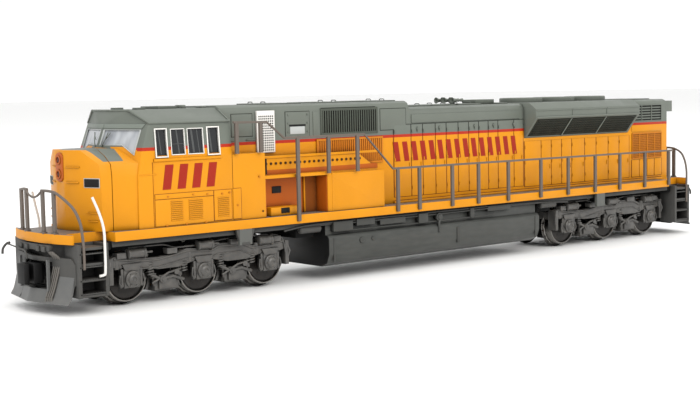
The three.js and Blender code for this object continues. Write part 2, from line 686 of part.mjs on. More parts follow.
// Flared radiator housing that closes the top of the hood, with a grille on each slanted face.
const flareY = 9.4;
const flareTurn = Math.atan2(RADIATOR_EDGE_LOW - RADIATOR_FOOT, flareY - hoodY);
const onFlare = (along, out) => [
  hoodY + along * Math.cos(flareTurn) + out * Math.sin(flareTurn),
  RADIATOR_FOOT + along * Math.sin(flareTurn) - out * Math.cos(flareTurn),
];
const flareLength = Math.hypot(flareY - hoodY, RADIATOR_EDGE_LOW - RADIATOR_FOOT);
const flareStrip = (margin, from, to) => [
  onFlare(margin, from), onFlare(flareLength - margin, from),
  onFlare(flareLength - margin, to), onFlare(margin, to),
];
function radiatorHousing() {
  const section = (inset) =>
    bothSides([
      [hoodY - inset, RADIATOR_FOOT - (inset ? 1 : 0)],
      [hoodY - inset, RADIATOR_FOOT],
      [flareY - inset, RADIATOR_EDGE_LOW + 0.3 * inset],
      [flareY - inset, RADIATOR_EDGE_HIGH - 0.6 * inset],
      [flareY - inset - 1.8, RADIATOR_TOP - inset],
    ]);
  const outline = section(0).filter(([, z], i, all) => i === 0 || z !== all[i - 1][1] || z !== RADIATOR_FOOT);
  const recess = prismX(flareStrip(0.35, -0.4, 1), 0.7 - radiatorRear, -radiatorFront - 0.7);
  return cut(
    prismX(outline, -radiatorRear + FIT_GAP, -radiatorFront - FIT_GAP),
    prismX(section(WALL), -radiatorRear + WALL, -radiatorFront - WALL),
    recess,
    mirrorY(recess),
    box(-radiatorRear, -radiatorFront, -boardY - FIT_GAP, boardY + FIT_GAP, 0, boardTop + FIT_GAP),
  );
}
part("radiator_housing", radiatorHousing(), ROOF_GRAY);
pair(
  "radiator_grille",
  prismX(flareStrip(0.35 + FIT_GAP, -0.35, -0.05), 0.75 - radiatorRear, -radiatorFront - 0.75),
  GRILLE_BLACK,
);

// Roof fans: low rings over the radiator, each with a hub and six blades.
const FAN_RADIUS = 4.2;
const FAN_HEIGHT = 0.9;
function roofFan() {
  const ring = cut(
    turnedZ(bar(0, FAN_HEIGHT, FAN_RADIUS), 18),
    turnedZ(bar(0.25, 2, FAN_RADIUS - 0.5), 18),
  );
  const pieces = [ring, turnedZ(bar(0.1, 0.75, 0.8), 8)];
  for (let i = 0; i < 3; i++) {
    pieces.push(box(-FAN_RADIUS + 0.3, FAN_RADIUS - 0.3, -0.25, 0.25, 0.1, 0.6).rotateZ((Math.PI * i) / 3));
  }
  return join(...pieces);
}
["front", "middle", "rear"].forEach((place, i) => {
  part(`roof_fan_${place}`, roofFan(), ROOF_GRAY).position.set(-radiatorFront - 6 - 9.5 * i, 0, RADIATOR_TOP);
});

part(
  "exhaust_stack",
  cut(
    box(-2.5, 2.5, -1.8, 1.8, HOOD_TOP, HOOD_TOP + 0.9),
    box(-2, 2, -1.3, 1.3, HOOD_TOP + 0.3, HOOD_TOP + 2),
  ).translate(5.9 - radiatorFront, 0, 0),
  UNDERFRAME_GRAY,
);

// Five-bell horn on a cross bar.
function horn() {
  const height = HOOD_TOP + 0.75;
  const bells = [-1.5, -0.75, 0, 0.75, 1.5].map((y, i) => {
    const reach = i % 2 ? 1.6 : 2.2;
    return turnedX([[0, 0], [0, 0.2], [reach - 0.6, 0.2], [reach, 0.36], [reach, 0]], 6).translate(0, y, height);
  });
  return join(
    box(-0.3, 0.3, -1.8, 1.8, height - 0.2, height + 0.2),
    box(-0.3, 0.3, -0.3, 0.3, HOOD_TOP, height),
    ...bells,
  ).translate(tallHoodRear - 16.9, 0, 0);
}
part("horn", horn(), UNDERFRAME_GRAY);

// ---- Cabinets, duct and battery box beside the hood behind the cab ----
const cabY = sideY - CAB_INSET;
function equipmentBox() {
  const inner = hoodY + FIT_GAP;
  const ductY = hoodY + 1.6;
  const rear = cabRear - 31.4;
  const cabinet = cabRear - 6.35;
  const duct = [[rear, 17.4], [rear + 4.8, 20.7], [cabinet + 0.5, 20.7], [cabinet + 0.5, 17.2], [rear, 17.2]];
  return join(
    box(cabinet, cabRear - 0.1, inner, cabY, DECK_TOP, 21.4),
    prismY(duct, inner, ductY),
    box(rear + 11.6, cabinet + 0.5, inner, cabY, 17.2, 17.7),
    box(rear, rear + 12.4, inner, cabY, DECK_TOP, 17.4),
  );
}
pair("equipment_box", equipmentBox(), YELLOW);

// ---- Cab and nose ----
const hull = (points) =>
  closed(new ConvexGeometry(points.flatMap(([x, y, z]) => (y ? [[x, y, z], [x, -y, z]] : [[x, y, z]]))
    .map((p) => new THREE.Vector3(...p))));
const noseX = cabRear + 24.48;
const windshieldX = (y, z) => noseX - 6.33 - 0.255 * y - 0.37 * (z - 23.1);
function cabHull(inset, bottom = DECK_TOP) {
  const back = cabRear + inset;
  const wall = cabY - inset;
  const eave = [cabY - 0.4 - inset, EAVE_HEIGHT - 0.3 * inset];
  const crown = 5.5 - 0.3 * inset;
  const roof = CAB_ROOF - inset;
  const onGlass = (y, z) => [windshieldX(y, z) - inset, y, z];
  const brow = [onGlass(0, eave[1]), onGlass(crown, eave[1]), onGlass(...eave), [back, ...eave]];
  const lower = hull([
    [back, wall, bottom],
    [back, wall, BELT_HEIGHT],
    [noseX - 7.58 - inset, wall, bottom],
    [noseX - 7.68 - inset, wall, 19.1],
    onGlass(wall - 0.1, 22.5),
    onGlass(0, 23.1),
    [noseX - 6.33 - inset, 0, bottom],
    ...brow,
  ]);
  const upper = hull([
    ...brow,
    [back, crown, roof],
    [noseX - 8.78 - inset, crown, roof],
    [noseX - 8.38 - inset, 0, roof],
  ]);
  return join(lower, upper);
}
const noseHull = (inset, bottom = DECK_TOP) =>
  hull([
    [noseX - 8.28 + inset, cabY - 0.1 - inset, bottom],
    [noseX - 8.28 + inset, cabY - 0.1 - inset, 19.1 - 0.5 * inset],
    [noseX - 8.28 + inset, cabY - 0.4 - inset, 20.9 - inset],
    [noseX - 8.28 + inset, 4.2, NOSE_HEIGHT - inset],
    [noseX - 2.43 - 0.7 * inset, cabY - 1.65 - inset, bottom],
    [noseX - 2.43 - 0.7 * inset, cabY - 1.65 - inset, 19.1 - 0.5 * inset],
    [noseX - 2.28 - inset, cabY - 1.95 - inset, 20.9 - inset],
    [noseX - 1.08 - inset, 4.2, NOSE_HEIGHT - inset],
    [noseX - inset, 1.3, NOSE_HEIGHT - inset],
    [noseX - inset, 1.3, bottom],
  ]);
const noseSplit = (from, to) => box(from, to, -20, 20, 0, 40);
const SIDE_WINDOWS = [[11.6, 13.65], [8.4, 10.9], [5.05, 7.95], [2.2, 4.4]]; // ahead of the cab's rear wall
const HEADLIGHT = { halfWidth: 0.85, bottom: 18.6, top: 22.2 };

function cabShell() {
  const seam = fromFace(NOSE_SEAM_SETBACK);
  const outer = join(cabHull(0), overlap(noseHull(0), noseSplit(cabRear, seam - FIT_GAP)));
  const belowDeck = DECK_TOP - 1;
  const cavity = join(cabHull(WALL, belowDeck), overlap(noseHull(WALL, belowDeck), noseSplit(cabRear, seam + 1)));
  const gangway = box(cabRear - 1, cabRear + 2, -hoodY + WALL, hoodY - WALL, 0, BELT_HEIGHT);
  const windows = SIDE_WINDOWS.map(([x0, x1]) =>
    box(cabRear + x0, cabRear + x1, -2 * cabY, 2 * cabY, WINDOW_BOTTOM, WINDOW_TOP),
  );
  const outerEdge = cabY - 1.45;
  const pane = prismX(
    [[0.35, 23.4], [5.0, 23.4], [outerEdge, 22.0], [outerEdge, WINDOW_TOP], [0.35, WINDOW_TOP]],
    noseX - 9.7,
    noseX,
  );
  return cut(outer, cavity, gangway, ...windows, pane, mirrorY(pane));
}
part("cab_shell", cabShell(), YELLOW);

function noseShell() {
  const seam = fromFace(NOSE_SEAM_SETBACK);
  return cut(
    overlap(noseHull(0), noseSplit(seam + FIT_GAP, faceX)),
    overlap(noseHull(WALL, DECK_TOP - 1), noseSplit(seam - 1, faceX)),
    box(noseX - 3, noseX + 3, -HEADLIGHT.halfWidth, HEADLIGHT.halfWidth, HEADLIGHT.bottom, HEADLIGHT.top),
  );
}
part("nose_shell", noseShell(), YELLOW);

// One clear liner fills all the cab's windows from inside.
part(
  "cab_glazing",
  overlap(
    cut(cabHull(WALL + FIT_GAP), cabHull(WALL + 0.5, 0)),
    box(cabRear, noseX, -20, 20, WINDOW_BOTTOM - 0.2, EAVE_HEIGHT - 0.6),
  ),
  CLEAR,
);

// Light guides: a lens in the shell and a bar back to the board's lamp.
const pipeBottom = chassisTop - 1.2;
const lens = (x0, x1, { halfWidth, bottom, top }) =>
  box(x0, x1, FIT_GAP - halfWidth, halfWidth - FIT_GAP, bottom + FIT_GAP, top - FIT_GAP);
part(
  "front_light_guide",
  join(
    lens(noseX - 1.6, noseX - 0.1, HEADLIGHT),
    box(chassisEnd + 0.2, noseX - 1.2, -0.6, 0.6, pipeBottom, chassisTop),
  ),
  CLEAR,
);
part(
  "rear_light_guide",
  join(
    lens(-hoodRear, 1.4 - hoodRear, REAR_LIGHT),
    box(0.9 - hoodRear, 3 - hoodRear, -0.6, 0.6, chassisTop, REAR_LIGHT.top - 0.3),
  ),
  CLEAR,
);

// ---- Handrails ----
const RAIL_THICKNESS = 0.35;
const RAIL_HEIGHT = 17.2;
const postY = [sideY, sideY + 0.4];
const postWidth = 0.62;
const railEnd = 0.15 - fromFace(SILL_REAR_SETBACK) - 1;
const railPath = [
  [cabRear, 26.35], [cabRear - 6.4, 26.25], [cabRear - 9.8, 23.6], [cabRear - 26.6, 23.6],
  [cabRear - 32.9, RAIL_HEIGHT + 0.3], [railEnd, RAIL_HEIGHT],
];
const postsBehindCab = [12.5, 34.0, 39.05];
const postsFromRear = [8.3, 16.3, 23.9, 31.9, 39.7, 48.6, 56.4, 63.0]; // ahead of the side sill's rear end
const shortPosts = [[0.6, 21.5], [5.2, 21.5], [18.85, 17.5], [25.05, 17.5]]; // behind the cab, with their feet
function railHeight(x) {
  const i = railPath.findIndex(([end]) => end <= x);
  const [[x0, z0], [x1, z1]] = [railPath[i - 1], railPath[i]];
  return z0 + ((z1 - z0) * (x - x0)) / (x1 - x0);
}
function sideHandrail() {
  const half = RAIL_THICKNESS / 2;
  const rail = prismY(
    [...railPath.map(([x, z]) => [x, z + half]), ...railPath.map(([x, z]) => [x, z - half]).reverse()],
    postY[0] + FIT_GAP,
    postY[1] - FIT_GAP,
  );
  const post = (x, foot) => box(x - postWidth / 2, x + postWidth / 2, ...postY, foot, railHeight(x));
  return join(
    rail,
    ...postsBehindCab.map((x) => post(cabRear - x, deckBottom + 0.4)),
    ...postsFromRear.map((x) => post(x - fromFace(SILL_REAR_SETBACK), deckBottom + 0.4)),
    post(0.35 - fromFace(SILL_REAR_SETBACK), deckBottom + 0.4),
    ...shortPosts.map(([x, foot]) => post(cabRear - x, foot)),
  );
}
pair("side_handrail", sideHandrail(), RAIL_GRAY);

// End rails: two flat posts on the platform and a bar that sweeps down outside the steps.
const innerPost = [endSillX - 0.4, 2.55];
const outerPost = [endSillX - 0.85, 5.05];
const railOutside = sideY - 0.25;
function endHandrail() {
  const flat = ([x, y]) => box(x - 0.15, x + 0.2, y - 0.4, y + 0.4, DECK_TOP, RAIL_HEIGHT);
  const sweep = rod(
    [
      [innerPost[0], innerPost[1] - 0.3, RAIL_HEIGHT],
      [outerPost[0], outerPost[1], RAIL_HEIGHT],
      [endSillX - 1.1, railOutside - 2.2, RAIL_HEIGHT - 0.9],
      [endSillX - 1.35, railOutside - 0.5, RAIL_HEIGHT - 3.0],
      [endSillX - 1.4, railOutside, DECK_TOP + 0.6],
      [endSillX - 1.4, railOutside, 6],
    ],
    0.24,
    9,
    5,
  );
  return join(flat(innerPost), flat(outerPost), sweep);
}
const frontRail = endHandrail();
pair("front_handrail", frontRail, RAIL_GRAY);
pair("rear_handrail", mirrorX(frontRail), RAIL_GRAY);

// White grab bar beside the front steps.
pair(
  "stair_grab",
  rod(
    [
      [2.1, -0.45, 16.4], [1.4, 0.05, 14.2], [0.8, 0.23, 11.8], [0.7, 0.23, 9], [0.7, 0.23, 5.4], [1.2, 0.23, 5.0],
      [1.8, 0.23, 5.0],
    ].map(([x, y, z]) => [stepWellInner + x, sideY + y, z]),
    0.2,
    10,
    5,
  ),
  WHITE,
);

export default locomotive;
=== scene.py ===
"""A small-scale road diesel locomotive: its paint, panels, grilles, railings and running gear.

Sizes are in millimetres and heights count from the top of the rail, as a modeller measures them.
stand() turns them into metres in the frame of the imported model.
"""

import math

import bmesh
import bpy
from mathutils import Matrix, Vector


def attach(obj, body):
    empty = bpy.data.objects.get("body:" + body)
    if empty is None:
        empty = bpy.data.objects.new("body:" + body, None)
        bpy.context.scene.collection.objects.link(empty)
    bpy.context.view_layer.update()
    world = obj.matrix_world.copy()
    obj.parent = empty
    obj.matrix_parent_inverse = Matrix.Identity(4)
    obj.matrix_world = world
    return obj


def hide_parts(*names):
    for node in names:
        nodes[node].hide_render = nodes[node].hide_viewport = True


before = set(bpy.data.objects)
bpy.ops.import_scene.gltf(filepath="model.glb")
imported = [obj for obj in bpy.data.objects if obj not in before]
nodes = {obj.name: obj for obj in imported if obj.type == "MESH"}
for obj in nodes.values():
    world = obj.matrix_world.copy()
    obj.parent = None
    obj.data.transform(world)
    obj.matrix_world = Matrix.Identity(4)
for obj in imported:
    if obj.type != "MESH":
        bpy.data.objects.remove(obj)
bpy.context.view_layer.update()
MM = 0.001
FLANGE_DEPTH = 0.55
# Half the width of the hood and of the cab, and how deep a detail is set into its wall.
HOOD = 6.3
CAB = 9.4
SUNK = 0.1
SIDES = {"left": 1, "right": -1}
ENDS = {"front": 1, "rear": -1}


def linked(name, data):
    """A new object in the scene."""
    thing = bpy.data.objects.new(name, data)
    bpy.context.scene.collection.objects.link(thing)
    return thing


# ---------------------------------------------------------------- finishes
def srgb(r, g, b):
    """A colour as seen on a screen, 0 to 255, as the linear colour that shaders use."""
    parts = [c / 255 for c in (r, g, b)]
    return [c / 12.92 if c < 0.04045 else ((c + 0.055) / 1.055) ** 2.4 for c in parts] + [1]


def feed(tree, socket, value):
    """Links a socket to another one, or sets its value."""
    if isinstance(value, bpy.types.NodeSocket):
        tree.links.new(value, socket)
    else:
        socket.default_value = value


def add_node(tree, kind, sockets=(), **settings):
    node = tree.nodes.new(kind)
    for key, value in settings.items():
        setattr(node, key, value)
    for key, value in dict(sockets).items():
        feed(tree, node.inputs[key], value)
    return node


class Finish:
    """A material under construction, with short calls for the nodes it is made of."""

    def __init__(self, name, metallic=0.0, specular=0.22):
        self.material = bpy.data.materials.new(name)
        self.material.use_nodes = True
        self.tree = self.material.node_tree
        self.shader = self.tree.nodes["Principled BSDF"]
        self.shader.inputs["Metallic"].default_value = metallic
        self.shader.inputs["Specular IOR Level"].default_value = specular
        self.place = self.tree.nodes.new("ShaderNodeTexCoord").outputs["Object"]

    def put(self, kind, sockets=(), **settings):
        return add_node(self.tree, "ShaderNode" + kind, sockets, **settings)

    def math(self, operation, a, b=0.0):
        return self.put("Math", {0: a, 1: b}, operation=operation).outputs[0]

    def axes(self):
        return self.put("SeparateXYZ", {0: self.place}).outputs

    def facing(self):
        """Which way each face looks, as x, y and z."""
        geometry = self.put("NewGeometry")
        return self.put("SeparateXYZ", {0: geometry.outputs["True Normal"]}).outputs

    def mottle(self, per_metre, detail=4.0, stretch=(1, 1, 1)):
        """Soft noise, with so many blobs to the metre."""
        place = self.put("Mapping", {"Vector": self.place, "Scale": stretch}).outputs[0]
        return self.put("TexNoise", {"Vector": place, "Scale": per_metre, "Detail": detail}).outputs[0]

    def mix(self, factor, a, b, blend="MIX"):
        node = self.put("Mix", data_type="RGBA", blend_type=blend)
        for index, value in ((0, factor), (6, a), (7, b)):
            feed(self.tree, node.inputs[index], value)
        return node.outputs[2]

    def spread(self, value, low, high):
        """The middle of a noise's range, stretched between two values."""
        return self.put("MapRange", {0: value, 1: 0.3, 2: 0.7, 3: low, 4: high}).outputs[0]

    def surface(self, colour, rough, grain=9000, bump=0.00001, tint=0.05, depth=0.66, grime=0.75,
                reach=1.1):
        """Joins a colour with its faint unevenness, its sheen and the fine grain of the moulding.

        Crevices get painted shade: the paint is darker there by the given share and as far out as reach, in
        mm.
        """
        patches = self.mottle(180)
        shade = self.spread(patches, depth * (1 - tint), depth * (1 + tint))
        # Ambient occlusion darkens the colour in crevices: painted shade.
        hollow = self.put("AmbientOcclusion", {"Distance": reach * MM}, samples=6).outputs["AO"]
        clear = self.put("MapRange", {0: hollow, 1: 0.25, 2: 0.85, 3: 1 - grime, 4: 1.0}).outputs[0]
        shade = self.math("MULTIPLY", shade, clear)
        gray = self.put("CombineColor", {0: shade, 1: shade, 2: shade}).outputs[0]
        tinted = self.mix(1.0, colour, gray, "MULTIPLY")
        self.tree.links.new(tinted, self.shader.inputs["Base Color"])
        feed(self.tree, self.shader.inputs["Roughness"],
             self.spread(self.mottle(420), rough - 0.06, rough + 0.06))
        height = self.mottle(grain, 2.0)
        bumped = self.put("Bump", {"Height": height, "Strength": 0.35, "Distance": bump})
        self.tree.links.new(bumped.outputs[0], self.shader.inputs["Normal"])
        return self.material


def plain(name, colour, rough, metallic=0.0, specular=0.22, **grain):
    finish = Finish(name, metallic, specular)
    return finish.surface(srgb(*colour), rough, **grain)


YELLOW = (246, 161, 12)
STRIPE = (196, 48, 22)
ROOF = (122, 128, 119)
STRIPE_LOW = 22.6
STRIPE_HIGH = 23.1
BRACKET_TOP = 9.65
NOSE_REAR = 61.0
# The gray patch on the nose: its ends at the middle, how they slant outwards, and its heights.
PATCH_FRONT, PATCH_SWEEP = 68.8, 0.379
PATCH_REAR, PATCH_TAPER = 61.75, -0.18
PATCH_LOW, PATCH_HIGH = 21.25, 23.2


def level(height):
    """A height over the rail, as materials see it."""
    return (height + FLANGE_DEPTH) * MM


def livery(name, nose=False):
    """Yellow sides, a thin red stripe and a gray top. The nose has a gray anti-glare patch on its slopes."""
    finish = Finish(name)
    x, y, z = finish.axes()
    low, high = level(STRIPE_LOW), level(STRIPE_HIGH)
    over_red = finish.math("GREATER_THAN", z, low)
    over_gray = finish.math("GREATER_THAN", z, high)
    colour = finish.mix(over_red, srgb(*YELLOW), srgb(*STRIPE))
    colour = finish.mix(over_gray, colour, srgb(*ROOF))
    if nose:
        side = finish.math("ABSOLUTE", y)
        front = finish.math("ADD", x, finish.math("MULTIPLY", side, PATCH_SWEEP))
        before_front = finish.math("LESS_THAN", front, PATCH_FRONT * MM)
        on_slope = finish.math("GREATER_THAN", z, level(PATCH_LOW))
        rear = finish.math("ADD", x, finish.math("MULTIPLY", side, PATCH_TAPER))
        off_cheek = finish.math("GREATER_THAN", rear, PATCH_REAR * MM)
        patch = finish.math("MULTIPLY", before_front, on_slope)
        normal = finish.facing()
        upward = finish.math("GREATER_THAN", normal[2], 0.3)
        below = finish.math("LESS_THAN", z, level(PATCH_HIGH))
        patch = finish.math("MULTIPLY", patch, finish.math("MULTIPLY", upward, below))
        ahead = finish.math("GREATER_THAN", x, NOSE_REAR * MM)
        red_on_nose = finish.math("MULTIPLY", ahead, below)
        colour = finish.mix(red_on_nose, colour, srgb(*YELLOW))
        colour = finish.mix(finish.math("MULTIPLY", patch, off_cheek), colour, srgb(*ROOF))
    return finish.surface(colour, 0.42, tint=0.03)


def deck_paint():
    """Yellow edges with a worn gray tread on top; the faces that look down are painted dark as shade."""
    finish = Finish("deck_paint")
    normal = finish.facing()
    top = finish.math("GREATER_THAN", normal[2], 0.5)
    # Faces that look down are painted dark gray: painted shade under the deck.
    underside_shade = finish.math("LESS_THAN", normal[2], -0.5)
    colour = finish.mix(top, srgb(*YELLOW), srgb(132, 122, 114))
    colour = finish.mix(underside_shade, colour, srgb(80, 80, 78))
    height = finish.axes()[2]
    bracket = finish.math("LESS_THAN", height, level(BRACKET_TOP))
    colour = finish.mix(bracket, colour, srgb(110, 112, 108))
    return finish.surface(colour, 0.5, tint=0.05)


def weathered(name, colour, rough, dust_and_highlight=(146, 138, 128), metallic=0.0, specular=0.22):
    """Dark running gear, paler in patches on its upper faces: partly dust, partly a painted highlight where
    light from above falls. Its hollows are painted darker as shade.
    """
    finish = Finish(name, metallic, specular)
    patches = finish.spread(finish.mottle(900, 6.0), 0.05, 0.5)
    normal = finish.facing()
    # Faces that look up take the paler colour: dust and a painted highlight.
    upward = finish.put("MapRange", {0: normal[2], 1: 0.2, 2: 1.0, 3: 0.25, 4: 1.0}).outputs[0]
    colour = finish.mix(finish.math("MULTIPLY", patches, upward), srgb(*colour), srgb(*dust_and_highlight))
    return finish.surface(colour, rough, 5000, 0.00002, grime=0.9, reach=2.2)


def mesh_grille(name):
    """Near-black radiator screen, finely crossed by wires."""
    finish = Finish(name)
    x, y, z = finish.axes()
    wires = []
    for along in (x, z):
        wave = finish.math("SINE", finish.math("MULTIPLY", along, 2 * math.pi / (0.42 * MM)))
        wires.append(finish.math("GREATER_THAN", wave, 0.55))
    wire = finish.math("MAXIMUM", *wires)
    colour = finish.mix(wire, srgb(22, 26, 20), srgb(58, 62, 52))
    return finish.surface(colour, 0.6)


def glass_with_painted_reflection():
    """A windscreen whose colour is a painted reflection of a bright room, in long soft streaks."""
    finish = Finish("windscreen_painted_reflection", specular=0.4)
    # Painted reflection: pale streaks over gray.
    painted_streak = finish.spread(finish.mottle(260, 2.0, (1, 1.6, 0.5)), 0.0, 1.0)
    colour = finish.mix(painted_streak, srgb(150, 155, 162), srgb(222, 226, 231))
    return finish.surface(colour, 0.14, tint=0.01)


def tank_paint():
    """Smooth dark gray along the tank and near black on its ends."""
    finish = Finish("tank_paint")
    normal = finish.facing()
    end = finish.math("GREATER_THAN", finish.math("ABSOLUTE", normal[0]), 0.6)
    scuffs = finish.spread(finish.mottle(1400, 5.0, (0.25, 1, 1)), 0.0, 0.25)
    side = finish.mix(scuffs, srgb(76, 78, 75), srgb(110, 110, 106))
    return finish.surface(finish.mix(end, side, srgb(26, 26, 26)), 0.38)


body_paint = livery("body_paint")
front_paint = livery("front_paint", nose=True)
deck = deck_paint()
yellow = plain("yellow_paint", YELLOW, 0.42, tint=0.04)
red = plain("red_marking", (176, 40, 14), 0.5)
roof_gray = plain("roof_gray", ROOF, 0.45, tint=0.03)
# Roof gray painted lighter: a painted highlight on faces turned up to the light.
roof_gray_highlight = plain("roof_gray_highlight", (140, 148, 139), 0.45)
frame_gray = weathered("underframe_gray", (82, 82, 80), 0.55, (118, 112, 104))
tank_gray = weathered("tank_gray", (73, 74, 71), 0.4, (104, 103, 99))
truck_gray = weathered("truck_gray", (78, 77, 75), 0.34, (190, 183, 172), specular=0.5)
rail_gray = plain("railing_gray", (118, 108, 100), 0.5)
black = plain("black_plastic", (24, 24, 24), 0.5)
pitch_dark = plain("deep_shadow_black", (12, 12, 11), 0.8)
white = plain("white_trim", (238, 236, 230), 0.45, depth=0.8)
side_glass = plain("side_window_glass", (40, 42, 44), 0.12, specular=0.4)
windscreen = glass_with_painted_reflection()
screen = mesh_grille("radiator_screen")
tyre_steel = plain("tyre_steel", (158, 155, 150), 0.28, 1.0)
wheel_black = weathered("wheel_black", (50, 47, 45), 0.34, (120, 112, 104))
brass = plain("turned_brass", (196, 158, 92), 0.3, 1.0)
steel = plain("ground_steel", (190, 192, 195), 0.28, 1.0)
zinc = plain("cast_zinc", (150, 152, 155), 0.5, 1.0)
board_green = plain("board_green", (36, 96, 52), 0.4)
natural_acetal = plain("natural_acetal", (232, 229, 218), 0.45)
pale_trim = plain("pale_trim", (206, 210, 208), 0.4)
yellow_shadow = plain("shaded_yellow", (226, 136, 22), 0.5)
pane_glint = plain("pane_glint", (92, 94, 94), 0.3)
# Dark brown put in the gaps between panels and in a bay of the recess: painted shade.
seam_shade_brown = plain("seam_shade_brown", (150, 80, 18), 0.6)
# Dark gray put in the gaps between the upper hood panels: painted shade.
seam_shade_gray = plain("seam_shade_gray", (52, 55, 50), 0.6)
# Yellow darkened to orange for surfaces set back in recesses: painted shade.
recess_shade_orange = plain("recess_shade_orange", (206, 104, 22), 0.5)
bolt_brown = plain("bolt_brown", (70, 40, 14), 0.5)
# Yellow darkened to orange behind the rear grilles: painted shade.
grille_shade_orange = plain("grille_shade_orange", (176, 98, 30), 0.6)
bezel_orange = plain("bezel_orange", (206, 104, 34), 0.4)
lamp_red = plain("lamp_red", (92, 26, 14), 0.15)
intake_gray = plain("intake_gray", (88, 94, 84), 0.5)
wire_gray = plain("wire_gray", (62, 66, 58), 0.5)
hose_gray = plain("hose_gray", (124, 120, 114), 0.4)
plow_gray = weathered("plow_gray", (112, 113, 112), 0.4, (146, 142, 136))


# ---------------------------------------------------------------- shapes
# The mesh under construction. Shapes are added to it, and stand() makes an object of it and starts a new one.
bm = bmesh.new()
AXES = {
    "x": lambda u, v, w: (w, u, v),
    "y": lambda u, v, w: (u, w, v),
    "z": lambda u, v, w: (u, v, w),
}


def between(*outlines):
    """A closed solid between two outlines with as many corners."""
    near, far = ([bm.verts.new(place) for place in outline] for outline in outlines)
    bm.faces.new(near)
    bm.faces.new(far[::-1])
    for i in range(len(near)):
        j = (i + 1) % len(near)
        bm.faces.new((near[i], far[i], far[j], near[j]))
    return near + far


def plate(outline, axis, low, high):
    """An outline pushed along one axis."""
    return between(*([AXES[axis](u, v, w) for u, v in outline] for w in (low, high)))


def block(x0, x1, y0, y1, z0, z1):
    return plate([(x0, y0), (x1, y0), (x1, y1), (x0, y1)], "z", z0, z1)


def span(s, near, far):
    """Two places counted from the middle, in rising order on either side."""
    return sorted((s * near, s * far))


def on_hood(x0, x1, out, z0, z1):
    """A plate standing out from the side of the hood."""
    block(x0, x1, HOOD - SUNK, HOOD + out, z0, z1)


def on_cab(x0, x1, out, z0, z1):
    """A plate standing out from the side of the cab."""
    block(x0, x1, CAB - SUNK, CAB + out, z0, z1)


def tube(points, radius, sides=8, flat=1.0):
    """A round bar along a path, or an oval one when flat isn't 1."""
    points = [Vector(p) for p in points]
    made = []
    rings = []
    across = None
    for i, point in enumerate(points):
        ahead = (points[min(i + 1, len(points) - 1)] - points[max(i - 1, 0)]).normalized()
        if across is None:
            across = ahead.orthogonal().normalized()
        across = (across - ahead * across.dot(ahead)).normalized()
        other = ahead.cross(across)
        ring = []
        for k in range(sides):
            turn = 2 * math.pi * k / sides
            out = math.cos(turn) * across + flat * math.sin(turn) * other
            ring.append(bm.verts.new(point + radius * out))
        rings.append(ring)
        made += ring
    for a, b in zip(rings, rings[1:]):
        for k in range(sides):
            m = (k + 1) % sides
            bm.faces.new((a[k], a[m], b[m], b[k]))
    bm.faces.new(rings[0][::-1])
    bm.faces.new(rings[-1])
    return made


def turned(profile, axis, centre, sides=24):
    """A turned shape: the profile gives places along the axis and radii, and closes on the axis."""
    made = []
    rings = []
    for along, radius in profile:
        ring = []
        for k in range(sides if radius > 1e-6 else 1):
            turn = 2 * math.pi * k / sides
            place = Vector(AXES[axis](radius * math.cos(turn), radius * math.sin(turn), along))
            ring.append(bm.verts.new(place + Vector(centre)))
        rings.append(ring)
        made += ring
    for a, b in zip(rings, rings[1:]):
        for k in range(sides):
            m = (k + 1) % sides
            corners = [a[k % len(a)], a[m % len(a)], b[m % len(b)], b[k % len(b)]]
            unique = list(dict.fromkeys(corners))
            if len(unique) > 2:
                bm.faces.new(unique)
    return made


def smooth_path(points, steps=6):
    """Points along a soft curve through the given ones."""
    points = [Vector(p) for p in points]
    ends = [2 * points[0] - points[1]] + points + [2 * points[-1] - points[-2]]
    path = []
    for a, b, c, d in zip(ends, ends[1:], ends[2:], ends[3:]):
        for i in range(steps):
            t = i / steps
            square, cube = 2 * a - 5 * b + 4 * c - d, 3 * b - a - 3 * c + d
            path.append(0.5 * (2 * b + (c - a) * t + square * t**2 + cube * t**3))
    return path + [points[-1]]


def flip(x=1, y=1):
    """Moves the shapes to the other end or the other side."""
    for vertex in bm.verts:
        vertex.co.x *= x
        vertex.co.y *= y


def mirrored():
    """Adds the same shapes on the other side."""
    copies = bmesh.ops.duplicate(bm, geom=bm.verts[:] + bm.edges[:] + bm.faces[:])["geom"]
    for vertex in (g for g in copies if isinstance(g, bmesh.types.BMVert)):
        vertex.co.y *= -1
    bmesh.ops.reverse_faces(bm, faces=[g for g in copies if isinstance(g, bmesh.types.BMFace)])


def round_edges(piece, width, segments=2):
    """Softens the sharp edges as a moulding's are."""
    bevel = piece.modifiers.new("soft_edges", "BEVEL")
    bevel.width = width * MM
    bevel.segments = segments
    bevel.limit_method = "ANGLE"
    bevel.angle_limit = math.radians(32)
    bevel.harden_normals = False
    apply_modifiers(piece)


def apply_modifiers(piece):
    graph = bpy.context.evaluated_depsgraph_get()
    finished = bpy.data.meshes.new_from_object(piece.evaluated_get(graph))
    piece.modifiers.clear()
    piece.data = finished


def stand(name, material, body="body", soft=0.0, stands_for=(), mesh_in_metres=False):
    """Makes the object: cleans and places the mesh, gives it its finish and sets it on its body."""
    global bm
    if not mesh_in_metres:
        for vertex in bm.verts:
            vertex.co = (vertex.co + Vector((0, 0, FLANGE_DEPTH))) * MM
    bmesh.ops.recalc_face_normals(bm, faces=bm.faces[:])
    mesh = bpy.data.meshes.new(name)
    bm.to_mesh(mesh)
    bm.free()
    bm = bmesh.new()
    piece = linked(name, mesh)
    if soft:
        round_edges(piece, soft)
    piece.data.materials.clear()
    piece.data.materials.append(material)
    piece.data.shade_smooth()
    piece.data.set_sharp_from_angle(angle=math.radians(38))
    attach(piece, body)
    if stands_for:
        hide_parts(*stands_for)
    return piece


def pair(*given, **more):
    """Stands a piece that is the same on both sides, of which one side has been made."""
    mirrored()
    stand(*given, **more)


